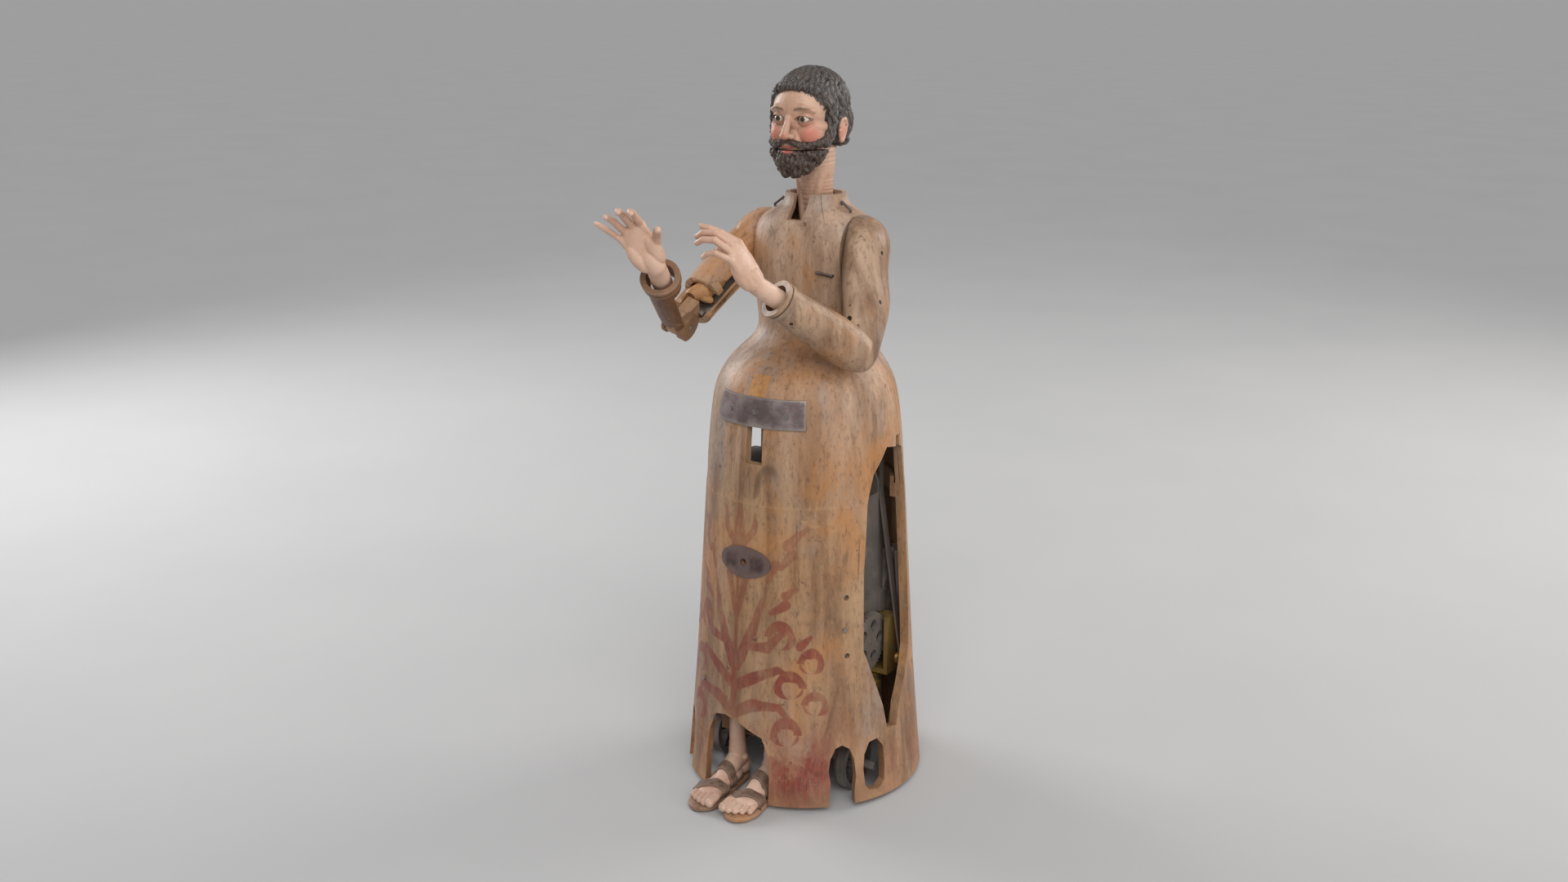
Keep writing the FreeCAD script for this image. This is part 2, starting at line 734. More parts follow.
def section_rows(shrink):
    rows = []
    for height, wide, deep, back, wall in body_rows_shares:
        z = height * mm.figure_height
        half_width = wide * mm.figure_height
        half_depth = deep * mm.figure_height
        if shrink:
            half_width = min(half_width, arm_flat_at(z)) - wall * mm.wall
            half_depth = half_depth - wall * mm.wall
        rows.append((0, back * mm.figure_height, z, half_width, half_depth))
    return rows


def arm_flat_at(z):
    """Where the flattened side of the chest lies at a height."""
    reach = abs(z - mm.shoulder_z)
    if reach > mm.arm_flat_reach:
        return mm.hem_radius
    return mm.arm_flat + mm.arm_flat_flare * reach / mm.arm_flat_reach


def stretch(rows, below, above):
    """The rows with their first and last section carried on past the ends."""
    x, y, z, wide, deep = rows[0]
    last = rows[-1]
    return [(x, y, z - below, wide, deep)] + rows[1:] + [(last[0], last[1], last[2] + above, last[3], last[4])]


body_outside = level_loft(section_rows(False))
body_hollow = level_loft(stretch(section_rows(True), mm.overrun, mm.overrun))
body_grown = level_loft([(x, y, z, wide + mm.strap_thickness, deep + mm.strap_thickness)
                         for x, y, z, wide, deep in section_rows(False)])


def turned_about_shoulder(points):
    """Solid of (x, distance from the shoulder's axis) points turned about that axis."""
    places = [Vector(x, mm.shoulder_y, mm.shoulder_z + reach) for x, reach in points]
    face = Part.Face(Part.makePolygon(places + [places[0]]))
    return face.revolve(Vector(0, mm.shoulder_y, mm.shoulder_z), Vector(1, 0, 0), 360)


def arm_space(side):
    far = mm.hem_radius
    return turned_about_shoulder([
        (side * mm.arm_flat, 0), (side * (mm.arm_flat + mm.arm_flat_flare), mm.arm_flat_reach),
        (side * far, mm.arm_flat_reach), (side * far, 0)])


def arm_keep_out(side):
    """What the arm leaves free beside the chest."""
    reach = mm.arm_flat_reach
    flat = mm.arm_flat + mm.free_gap
    return turned_about_shoulder([
        (0, 0), (side * flat, 0), (side * (flat + mm.arm_flat_flare), reach), (0, reach)])


def window_tool(side):
    outline = window_outline_shares if side > 0 else right_window_outline_shares
    points = [Vector(side * mm.plate_outside, y * mm.figure_height, z * mm.figure_height) for y, z in outline]
    return sheet_of(points, Vector(side * mm.hem_radius, 0, 0))


def wall_hole(angle, width, bottom, height, shares):
    """Tool of a ragged outline through the skirt's wall at an angle round the axis."""
    points = [Vector(mm.plate_outside, across * width / 2, bottom + up * height) for across, up in shares]
    hole = sheet_of(points, Vector(mm.hem_radius, 0, 0))
    hole.rotate(Vector(0, 0, 0), Vector(0, 0, 1), angle)
    return hole


def wall_box(angle, width, bottom, height):
    """Block through the skirt's wall at an angle round the axis."""
    block = Part.makeBox(mm.hem_radius, width, height, Vector(mm.plate_outside, -width / 2, bottom))
    block.rotate(Vector(0, 0, 0), Vector(0, 0, 1), angle)
    return block


def foot_door_tool():
    half = (mm.foot_door_left - mm.foot_door_right) / 2
    middle = (mm.foot_door_left + mm.foot_door_right) / 2
    points = [Vector(middle + x * half, -mm.plate_outside, z * mm.foot_door_height) for x, z in foot_door_shares]
    return sheet_of(points, Vector(0, -mm.hem_radius, 0))


def patch_block(spare):
    y = -mm.joint_radius
    return Part.makeBox(mm.patch_left - mm.patch_right + 2 * spare, mm.joint_radius, mm.patch_height + 2 * spare,
                        Vector(mm.patch_right - spare, y, mm.patch_bottom - spare))


def make_torso():
    outside = feature("BodyShell", body_outside.cut(body_hollow).cut(arm_space(1)).cut(arm_space(-1)))
    cuts = [feature("UpperWindow%s" % name, window_tool(side)) for name, side in (("Left", 1), ("Right", -1))]
    notch = box("CollarNotch", "-notch_width / 2", "-joint_radius", "notch_bottom",
                "notch_width", "joint_radius", "notch_depth + overrun")
    slot = box("BellySlot", "-slot_width / 2", "-hem_radius", "slot_bottom", "slot_width", "hem_radius",
               "slot_top - slot_bottom")
    bore = cylinder("ShoulderBore", "shoulder_bore", "2 * hem_radius", "-hem_radius", "shoulder_y", "shoulder_z", "x")
    pocket = feature("PatchPocket", patch_block(0).cut(inner_patch()))
    return cut("torso_shell", outside, notch, slot, bore, pocket, doc.getObject("body_nails"),
               doc.getObject("TieHoles"), *cuts)


def inner_patch():
    """What lies behind the pocket for the patch."""
    return level_loft([(x, y, z, wide - mm.patch_depth, deep - mm.patch_depth)
                       for x, y, z, wide, deep in section_rows(False)])


def make_skirt():
    outer = fuse("SkirtOutside",
                 cone("SkirtLow", "hem_radius", "knee_radius", "knee_height - hem_clearance", "hem_clearance"),
                 cone("SkirtHigh", "knee_radius", "joint_radius", "joint_height - knee_height", "knee_height"),
                 cylinder("LipFoot", "inner_joint_radius + lip_width / 2", "lip_depth", z="joint_height - lip_depth"),
                 cylinder("Lip", "inner_joint_radius - lip_gap", "lip_height + lip_depth", z="joint_height - lip_depth"))
    bore = fuse("SkirtBore",
                cone("BoreLow", "inner_hem_radius", "inner_knee_radius", "knee_height - hem_clearance",
                     "hem_clearance"),
                cylinder("BoreMouth", "inner_hem_radius", "overrun", z="hem_clearance - overrun"),
                cone("BoreHigh", "inner_knee_radius", "inner_joint_radius", "joint_height - knee_height - lip_depth",
                     "knee_height"),
                cylinder("BoreLip", "inner_joint_radius - lip_gap - lip_width", "lip_depth + lip_height + overrun",
                         z="joint_height - lip_depth"))
    cuts = [feature("LowerWindow%s" % name, window_tool(side)) for name, side in (("Left", 1), ("Right", -1))]
    cuts.append(feature("FootDoor", foot_door_tool()))
    for name, mirror in (("Left", lambda angle: angle), ("Right", lambda angle: 180 - angle)):
        cuts.append(feature("HemNotch" + name, wall_hole(
            mirror(mm.hem_notch_angle), mm.hem_notch_width, 0, mm.hem_notch_height, hem_notch_shares)))
        cuts.append(feature("HubWindow" + name, wall_hole(
            mirror(mm.hub_window_angle), mm.hub_window_width, mm.hub_window_bottom, mm.hub_window_height,
            hub_window_shares)))
    keyhole = cylinder("Keyhole", "keyhole_radius", "hem_radius", "keyhole_x", "-hem_radius", "keyhole_height", "y")
    screw_hole = cylinder("StrapScrewHole", "screw_shank_radius", "hem_radius", "plate_outside", "strap_screw_y",
                          "strap_screw_z", "x")
    for number, angle in enumerate((mm.bracket_angle, 180 - mm.bracket_angle, 180 + mm.bracket_angle,
                                    -mm.bracket_angle), 1):
        cuts.append(feature("BoltHoles%d" % number, Part.makeCompound([
            bolt_hole(angle, mm.bolt_low), bolt_hole(angle, mm.bolt_high)])))
    return cut("skirt_shell", outer, bore, keyhole, screw_hole, doc.getObject("body_nails"), *cuts)


def bolt_hole(angle, height):
    turn = math.radians(angle)
    return Part.makeCylinder(mm.bolt_radius + mm.fit_gap, mm.hem_radius / 2,
                             Vector(mm.plate_outside * math.cos(turn), mm.plate_outside * math.sin(turn), height),
                             Vector(math.cos(turn), math.sin(turn), 0))


# Trim on the carved body

def surface_at(shape, inside, toward):
    """Where a line from inside the shape last leaves it."""
    line = Part.LineSegment(inside, inside + toward.normalize() * mm.figure_height).toShape()
    return max((corner.Point for corner in shape.common(line).Vertexes), key=inside.distanceToPoint)


def make_strap():
    half = math.radians(mm.strap_half_angle)
    far = Vector(mm.hem_radius * math.sin(half), -mm.hem_radius * math.cos(half), mm.strap_bottom)
    wedge = sheet_of([Vector(0, 0, mm.strap_bottom), Vector(-far.x, far.y, far.z), far],
                     Vector(0, 0, mm.strap_height))
    strap = body_grown.cut(body_outside).common(wedge)
    for angle, height in strap_nail_places:
        turn = math.radians(angle)
        strap = strap.cut(Part.makeCylinder(mm.nail_radius / 2, mm.hem_radius, Vector(0, 0, height * mm.figure_height),
                                            Vector(math.cos(turn), math.sin(turn), 0)))
    return feature("hip_strap", strap)


def nail_at(shape, angle, height, lift):
    out = Vector(math.cos(math.radians(angle)), math.sin(math.radians(angle)), 0)
    foot = surface_at(shape, Vector(0, 0, height), out) + out * lift
    shank = Part.makeCylinder(mm.nail_radius / 2, mm.nail_length, foot - out * mm.nail_length, out)
    return shank.fuse(Part.makeCylinder(mm.nail_radius, mm.nail_head, foot, out))


def make_nails():
    nails = [nail_at(body_outside, angle, height * mm.figure_height, mm.strap_thickness + mm.free_gap)
             for angle, height in strap_nail_places]
    nails += [nail_at(skirt_solid(), angle, height * mm.figure_height, 0) for angle, height in skirt_nail_places]
    return feature("body_nails", Part.makeCompound(nails))


def skirt_solid(grow=0):
    low = Part.makeCone(mm.hem_radius + grow, mm.knee_radius + grow, mm.knee_height - mm.hem_clearance,
                        Vector(0, 0, mm.hem_clearance))
    high = Part.makeCone(mm.knee_radius + grow, mm.joint_radius + grow, mm.joint_height - mm.knee_height,
                         Vector(0, 0, mm.knee_height))
    return low.fuse(high)


def oval_bar(start, half_wide, half_high, length):
    """Bar of oval section that runs toward +Y from its start."""
    oval = Part.Ellipse(Vector(), half_wide, half_high).toShape()
    oval.rotate(Vector(), Vector(1, 0, 0), 90)
    oval.translate(start)
    return Part.Face(Part.Wire(oval)).extrude(Vector(0, length, 0))


def make_keyhole_plate():
    middle = Vector(mm.keyhole_x, -mm.hem_radius - mm.overrun, mm.keyhole_height)
    tool = oval_bar(middle, mm.keyhole_plate_width / 2, mm.keyhole_plate_height / 2, mm.hem_radius)
    skin = skirt_solid(mm.keyhole_plate_thickness).cut(skirt_solid())
    hole = Part.makeCylinder(mm.keyhole_radius, mm.hem_radius, middle, Vector(0, 1, 0))
    return feature("keyhole_plate", skin.common(tool).cut(hole))


def make_patch():
    block = patch_block(-mm.fit_gap)
    return feature("waist_patch", block.common(body_outside).cut(inner_patch()))


def tie_at(start, end, out):
    """Bent wire with both ends in the wood."""
    bow = out.normalize() * mm.tie_loop_radius
    points = [start - bow, start + bow / 2, (start + end + bow) / 2, end + bow / 2, end - bow]
    return ball_chain(points, [mm.tie_radius] * len(points))


def make_ties():
    ties = []
    holes = []
    for start, end, out in tie_shares:
        centre = place_of(shoulder_middle_shares)
        first = surface_at(body_outside, centre, place_of(start) - centre)
        last = surface_at(body_outside, centre, place_of(end) - centre)
        ties.append(tie_at(first, last, Vector(*out)))
        leg = Vector(*out).normalize() * (mm.tie_loop_radius + mm.tie_radius)
        holes += [Part.makeCylinder(mm.tie_radius, 2 * leg.Length, end_point - leg, leg)
                  for end_point in (first, last)]
    feature("TieHoles", Part.makeCompound(holes))
    feature("shoulder_ties", Part.makeCompound(ties))


# Movement plates and frame

def plate_outline():
    half, ear, top = "plate_half_depth", "axle_ear_half", "plate_top_half"
    ear_back = "axle_y + " + ear
    ear_front = "axle_y - " + ear
    return [("-" + half, "plate_bottom"), (ear_front, "plate_bottom"), (ear_front, "axle_ear_bottom"),
            (ear_back, "axle_ear_bottom"), (ear_back, "plate_bottom"), (half, "plate_bottom"),
            (half, "plate_shoulder"), (top, "plate_top"), ("-" + top, "plate_top"), ("-" + half, "plate_shoulder")]


def plate_holes():
    holes = [("second_y", "second_z", "bore_radius"), ("idler_y", "idler_z", "bore_radius"),
             ("camshaft_y", "camshaft_z", "bore_radius"), ("fly_y", "fly_z", "bore_radius"),
             ("barrel_y", "barrel_z", "barrel_arbor_radius + fit_gap"),
             ("axle_y", "axle_z", "axle_radius + fit_gap"), ("lever_rod_y", "lever_rod_z", "lever_rod_radius")]
    return holes + [(y, z, "pillar_radius / 2") for y, z in pillar_places]


pillar_places = [(side + "(plate_half_depth - pillar_edge)", height)
                 for side in "-+" for height in ("plate_bottom + pillar_rise", "plate_shoulder - pillar_edge")]


def make_plates():
    left = side_plate("movement_plate_left", plate_outline(), plate_holes(), "plate_thickness", "plate_gap_half")
    holes = plate_holes() + [("click_y", "click_z", "crank_pin_radius + fit_gap")]
    right = side_plate("movement_plate_right", plate_outline(), holes, "plate_thickness", "-plate_outside")
    return left, right


def stepped(name, steps, y, z):
    """Turned piece along X from (start, end, radius) steps, left open nowhere."""
    outline = [(steps[0][0], "0")]
    for start, end, radius in steps:
        outline += [(start, radius), (end, radius)]
    outline.append((steps[-1][1], "0"))
    return turned(name, outline, "0", y, z)


def make_pillars():
    pillars = []
    for number, (y, z) in enumerate(pillar_places, 1):
        pillars.append(stepped("Pillar%d" % number, [
            ("-plate_outside", "-plate_gap_half", "pillar_radius / 2"),
            ("-plate_gap_half", "plate_gap_half", "pillar_radius"),
            ("plate_gap_half", "plate_outside", "pillar_radius / 2")], y, z))
    return fuse("movement_pillars", *pillars)


def make_cap():
    plate = box("CapPlate", "-plate_outside", "-plate_top_half", "plate_top", "2 * plate_outside",
                "2 * plate_top_half", "top_plate_thickness")
    arch = cylinder("CapArch", "plate_top_half", "2 * plate_outside", "-plate_outside", "0",
                    "plate_top + top_plate_thickness", "x")
    hollow = cylinder("CapHollow", "plate_top_half - cap_thickness", "2 * plate_outside + 2 * overrun",
                      "-plate_outside - overrun", "0", "plate_top + top_plate_thickness", "x")
    below = box("CapBelow", "-hem_radius", "-hem_radius", "plate_top - hem_radius", "2 * hem_radius",
                "2 * hem_radius", "hem_radius + top_plate_thickness")
    hatch = box("CapHatch", "-cap_hatch_half", "cap_hatch_front", "plate_top + top_plate_thickness",
                "2 * cap_hatch_half", "plate_top_half", "plate_top_half + overrun")
    arch_shell = cut("CapArchShell", arch, hollow, below, hatch)
    post_hole = cylinder("CapPostHole", "neck_post_radius + fit_gap", "2 * plate_top", "0", "neck_y", "0")
    slots = [box("CapSlot%d" % number, x + " - crank_arm / 2", "rod_y - crank_arm / 2", "0",
                 "crank_arm", "crank_arm", "2 * plate_top")
             for number, x in enumerate(("rod_x", "-rod_x"), 1)]
    nod_slot = box("CapNodSlot", "-crank_arm / 2", "nod_rod_y - crank_arm / 4", "0", "crank_arm",
                   "crank_arm / 2", "2 * plate_top")
    return cut("movement_cap", fuse("CapWhole", plate, arch_shell), post_hole, nod_slot, *slots)


def make_side_strap():
    out, thick = mm.side_strap_out, mm.side_strap_thickness
    inner = [(mm.plate_outside, mm.side_strap_top), (mm.plate_outside, mm.side_strap_break),
             (out, mm.strap_screw_z + mm.screw_head_radius), (out, mm.side_strap_bottom)]
    outer = [(x + thick, z) for x, z in reversed(inner)]
    points = [Vector(x, mm.side_strap_y, z) for x, z in inner + outer]
    strap = sheet_of(points, Vector(0, mm.strap_back, 0))
    hole = Part.makeCylinder(mm.screw_shank_radius, out, Vector(out / 2, mm.strap_screw_y, mm.strap_screw_z),
                             Vector(1, 0, 0))
    return feature("side_strap", strap.cut(hole))


def screw_at(x, y, z, length, way):
    head = Part.makeCylinder(mm.screw_head_radius, mm.screw_head_height, Vector(x, y, z), Vector(-way, 0, 0))
    shank = Part.makeCylinder(mm.screw_shank_radius, length, Vector(x, y, z), Vector(way, 0, 0))
    depth = mm.screw_head_height / 2
    slot = Part.makeBox(depth, 2 * mm.screw_head_radius, mm.screw_slot,
                        Vector(min(-way, 0) * mm.screw_head_height - min(way, 0) * depth, -mm.screw_head_radius,
                               -mm.screw_slot / 2))
    slot.translate(Vector(x, y, z))
    return head.fuse(shank).cut(slot)


def make_screws():
    wall_screw = screw_at(mm.side_strap_out, mm.strap_screw_y, mm.strap_screw_z,
                          mm.strap_screw_length, 1)
    cock_screw = screw_at(mm.plate_outside + mm.cock_thickness, mm.low_cock_screw_y, mm.low_cock_screw_z,
                          mm.cock_thickness, -1)
    return feature("brass_screws", Part.makeCompound([wall_screw, cock_screw]))


def make_cocks():
    reach = "cock_x + cock_thickness - plate_outside"
    face = box("CockFace", "cock_x", "cock_front", "cock_bottom", "cock_thickness", "cock_back - cock_front",
               "cock_top - cock_bottom")
    upper = box("CockUpper", "plate_outside", "cock_back - cock_foot", "cock_top - lever_thickness", reach,
                "cock_foot", "lever_thickness")
    lower = box("CockLower", "plate_outside", "cock_front", "cock_bottom", reach, "cock_back - cock_front",
                "lever_thickness")
    bore = cylinder("CockBore", "bore_radius", "hem_radius", "plate_outside", "fly_y", "fly_z", "x")
    fly_cock = cut("fly_cock", fuse("CockWhole", face, upper, lower), bore)
    low = box("LowCockPlate", "plate_outside", "low_cock_front", "low_cock_bottom", "cock_thickness",
              "low_cock_back - low_cock_front", "low_cock_top - low_cock_bottom")
    hole = cylinder("LowCockHole", "screw_shank_radius", "hem_radius", "plate_gap_half", "low_cock_screw_y",
                    "low_cock_screw_z", "x")
    return fly_cock, cut("lower_cock", low, hole)


def make_brackets():
    inner = Part.makeCone(mm.inner_knee_radius, mm.inner_joint_radius, mm.joint_height - mm.lip_depth - mm.knee_height,
                          Vector(0, 0, mm.knee_height))
    thin = mm.bracket_thickness
    core = Part.makeCone(mm.inner_knee_radius - thin, mm.inner_joint_radius - thin,
                         mm.joint_height - mm.lip_depth - mm.knee_height, Vector(0, 0, mm.knee_height))
    frame = Part.makeBox(2 * mm.plate_outside, 2 * mm.plate_half_depth, mm.plate_top,
                         Vector(-mm.plate_outside, -mm.plate_half_depth, 0))
    pieces = []
    for angle in (mm.bracket_angle, 180 - mm.bracket_angle, 180 + mm.bracket_angle, -mm.bracket_angle):
        foot = wall_box(angle, mm.bracket_width, mm.bracket_bottom, mm.bracket_height).common(inner).cut(core)
        web = wall_box(angle, thin, mm.bracket_bottom, mm.bracket_height).common(inner).cut(frame)
        pieces.append(foot.fuse([web] + [bolt_at(angle, height) for height in (mm.bolt_low, mm.bolt_high)]))
    tab_y = mm.plate_half_depth - mm.bracket_tab
    for side_x in (mm.plate_outside, -mm.plate_outside - thin):
        for y in (tab_y, -mm.plate_half_depth):
            pieces.append(Part.makeBox(thin, mm.bracket_tab, mm.bracket_width,
                                       Vector(side_x, y, mm.bracket_bottom + mm.bracket_width)))
    whole = pieces[0].fuse(pieces[1:])
    return feature("wall_brackets", whole)


def bolt_at(angle, height):
    turn = math.radians(angle)
    out = Vector(math.cos(turn), math.sin(turn), 0)
    far = surface_at(skirt_solid(), Vector(0, 0, height), out) - out * mm.bolt_sunk
    near = out * (mm.inner_joint_radius - mm.bracket_thickness / 2) + Vector(0, 0, height)
    return Part.makeCylinder(mm.bolt_radius, near.distanceToPoint(far), near, out)


def make_rear_bar():
    bar = box("RearBarCross", "-plate_gap_half", "rear_bar_front", "rear_bar_bottom", "2 * plate_gap_half",
              "plate_half_depth - rear_bar_front", "rear_bar_thickness")
    tongue = box("RearBarTongue", "-rear_tongue_half", "rear_bar_front", "rear_bar_bottom",
                 "2 * rear_tongue_half", "rear_tongue_end - rear_bar_front", "rear_bar_thickness")
    hole = cylinder("RearBarHole", "fork_stem_radius + fit_gap", "hem_radius", "0", "steer_y", "0")
    return cut("rear_bar", fuse("RearBarWhole", bar, tongue), hole)


def make_foot_guide():
    block = box("FootGuideBlock", "-plate_outside", "-plate_half_depth - foot_guide_thickness",
                "foot_guide_bottom", "2 * plate_outside", "foot_guide_thickness", "foot_guide_height")
    slots = [box("FootGuideSlot%d" % number, x + " - tongue_size / 2 - fit_gap", "-hem_radius",
                 "tongue_z - tongue_size / 2 - fit_gap", "tongue_size + 2 * fit_gap", "hem_radius",
                 "tongue_size + 2 * fit_gap") for number, x in enumerate(("left_foot_x", "right_foot_x"), 1)]
    return cut("foot_guide", block, *slots)


def make_neck_guide():
    band = Part.makeBox(2 * mm.hem_radius, 2 * mm.hem_radius, mm.neck_guide_thickness,
                        Vector(-mm.hem_radius, -mm.hem_radius, mm.neck_guide_z))
    slab = feature("NeckGuideSlab", body_hollow.common(band))
    post = cylinder("NeckGuidePost", "neck_post_radius + fit_gap", "figure_height", "0", "neck_y", "0")
    nod = box("NeckGuideNod", "-crank_arm / 2", "nod_rod_y - crank_arm / 4", "0", "crank_arm",
              "crank_arm / 2", "figure_height")
    rods = [box("NeckGuideRod%d" % number, x + " - crank_arm / 4", "rod_y - crank_arm / 4", "0",
                "crank_arm / 2", "crank_arm / 2", "figure_height")
            for number, x in enumerate(("rod_x", "-rod_x"), 1)]
    return cut("neck_guide", slab, post, nod, *rods)


# Wheel train

def gear_face(teeth, phase):
    """Outline of a wheel's teeth in the YZ plane, with one tooth at the phase angle."""
    pitch = mm.gear_module * teeth / 2
    tip = pitch + mm.gear_module * tip_share
    root = pitch - mm.gear_module * root_share
    points = []
    for tooth in range(int(teeth)):
        middle = phase + 360 * tooth / teeth
        for radius, share in ((root, -root_half_share), (pitch, -pitch_half_share), (tip, -tip_half_share),
                              (tip, tip_half_share), (pitch, pitch_half_share), (root, root_half_share)):
            turn = math.radians(middle + 360 * share / teeth)
            points.append(Vector(0, radius * math.cos(turn), radius * math.sin(turn)))
    return points


def gear_shape(teeth, phase, x, width, y, z):
    shape = sheet_of(gear_face(teeth, phase), Vector(width, 0, 0))
    shape.translate(Vector(x, y, z))
    return shape


def bored(shape, radius, y, z):
    return shape.cut(Part.makeCylinder(radius, 2 * mm.hem_radius, Vector(-mm.hem_radius, y, z), Vector(1, 0, 0)))


def lightened(shape, hole, reach, y, z):
    for number in range(int(mm.spoke_count)):
        turn = 2 * math.pi * number / mm.spoke_count
        shape = bored(shape, hole, y + reach * math.cos(turn), z + reach * math.sin(turn))
    return shape


def meshed(phase, teeth, following, angle):
    """Phase of the following wheel that lets its gaps take the first wheel's teeth."""
    step = 360 / teeth
    nearest = phase + step * round((angle - phase) / step)
    return angle + 180 - (nearest - angle) * teeth / following + 180 / following


def direction(from_y, from_z, to_y, to_z):
    return math.degrees(math.atan2(to_z - from_z, to_y - from_y))


def make_train():
    great = bored(gear_shape(mm.great_teeth, 0, mm.great_wheel_x, mm.gear_thickness, mm.barrel_y, mm.barrel_z),
                  mm.barrel_arbor_radius + mm.free_gap, mm.barrel_y, mm.barrel_z)
    great_pitch = mm.great_pitch
    great = lightened(great, great_pitch * wheel_hole_share, great_pitch * wheel_hole_reach_share,
                      mm.barrel_y, mm.barrel_z)
    feature("great_wheel", great)
    pinion_phase = meshed(0, mm.great_teeth, mm.pinion_teeth, mm.second_angle)
    arbor = stepped("SecondStaff", [
        ("-plate_outside", "-plate_gap_half + free_gap", "pivot_radius"),
        ("-plate_gap_half + free_gap", "plate_gap_half - free_gap", "pivot_radius + free_gap * 2"),
        ("plate_gap_half - free_gap", "side_wheel_x + gear_thickness + free_gap", "pivot_radius")],
        "second_y", "second_z")
    pinions = [feature(name, gear_shape(mm.pinion_teeth, pinion_phase, start, width, mm.second_y, mm.second_z))
               for name, start, width in (("PinionA", mm.great_wheel_x - mm.free_gap * 4, mm.pinion_width),
                                          ("PinionB", mm.idler_x - mm.free_gap * 4, mm.pinion_width))]
    fuse("second_arbor", arbor, *pinions)
    side = bored(gear_shape(mm.side_wheel_teeth, 0, mm.side_wheel_x, mm.gear_thickness, mm.second_y, mm.second_z),
                 mm.pivot_radius, mm.second_y, mm.second_z)
    side_pitch = mm.side_wheel_pitch
    feature("side_wheel", lightened(side, side_pitch * wheel_hole_share, side_pitch * wheel_hole_reach_share,
                                    mm.second_y, mm.second_z))
    idler_phase = meshed(pinion_phase, mm.pinion_teeth, mm.idler_teeth,
                         direction(mm.second_y, mm.second_z, mm.idler_y, mm.idler_z))
    idler = gear_shape(mm.idler_teeth, idler_phase, mm.idler_x, mm.gear_thickness, mm.idler_y, mm.idler_z)
    idler = lightened(idler, mm.idler_pitch * wheel_hole_share, mm.idler_pitch * wheel_hole_reach_share,
                      mm.idler_y, mm.idler_z)
    fuse("idler_gear", feature("IdlerWheel", idler), plain_arbor("IdlerStaff", "idler_y", "idler_z"))
    axle_phase = meshed(idler_phase, mm.idler_teeth, mm.axle_gear_teeth,
                        direction(mm.idler_y, mm.idler_z, mm.axle_y, mm.axle_z))
    feature("axle_gear", bored(gear_shape(mm.axle_gear_teeth, axle_phase, mm.idler_x, mm.gear_thickness,
                                          mm.axle_y, mm.axle_z), mm.axle_radius, mm.axle_y, mm.axle_z))
    cam_phase = meshed(0, mm.great_teeth, mm.cam_gear_teeth, mm.camshaft_angle)
    cam_gear = bored(gear_shape(mm.cam_gear_teeth, cam_phase, mm.great_wheel_x, mm.gear_thickness,
                                mm.camshaft_y, mm.camshaft_z),
                     mm.pivot_radius + mm.free_gap * 2, mm.camshaft_y, mm.camshaft_z)
    feature("cam_gear", lightened(cam_gear, mm.cam_gear_pitch * wheel_hole_share,
                                  mm.cam_gear_pitch * wheel_hole_reach_share, mm.camshaft_y, mm.camshaft_z))
    plain_arbor("camshaft", "camshaft_y", "camshaft_z")
    make_fly(meshed(0, mm.side_wheel_teeth, mm.fly_pinion_teeth, mm.fly_angle))


def plain_arbor(name, y, z):
    return stepped(name, [
        ("-plate_outside", "-plate_gap_half + free_gap", "pivot_radius"),
        ("-plate_gap_half + free_gap", "plate_gap_half - free_gap", "pivot_radius + free_gap * 2"),
        ("plate_gap_half - free_gap", "plate_outside", "pivot_radius")], y, z)


def make_fly(phase):
    staff = cylinder("FlyStaff", "pivot_radius", "cock_x + cock_thickness + plate_outside",
                     "-plate_outside", "fly_y", "fly_z", "x")
    pinion = feature("FlyPinion", gear_shape(mm.fly_pinion_teeth, phase, mm.side_wheel_x - mm.free_gap * 2,
                                             mm.gear_thickness + mm.free_gap * 4, mm.fly_y, mm.fly_z))
    vane = box("FlyVane", "fly_vane_x", "fly_y - fly_vane_radius", "fly_z - fly_vane_thickness / 2",
               "fly_vane_length", "2 * fly_vane_radius", "fly_vane_thickness")
    return fuse("fly", staff, pinion, vane)


def make_cams():
    cams = []
    for number, (x, turn) in enumerate((("-lever_x", 90), ("0", 210), ("lever_x", 330)), 1):
        disc = cylinder("CamDisc%d" % number, "cam_base_radius", "cam_thickness",
                        x + " - cam_thickness / 2", "camshaft_y", "camshaft_z", "x")
        lobe = cylinder("CamLobe%d" % number, "cam_lobe_radius - cam_base_radius", "cam_thickness",
                        x + " - cam_thickness / 2", "camshaft_y + cam_base_radius * cos(%d)" % turn,
                        "camshaft_z + cam_base_radius * sin(%d)" % turn, "x")
        cams += [disc, lobe]
    bore = cylinder("CamBore", "pivot_radius + free_gap * 2", "2 * hem_radius", "-hem_radius", "camshaft_y",
                    "camshaft_z", "x")
    return cut("cams", fuse("CamBlanks", *cams), bore)


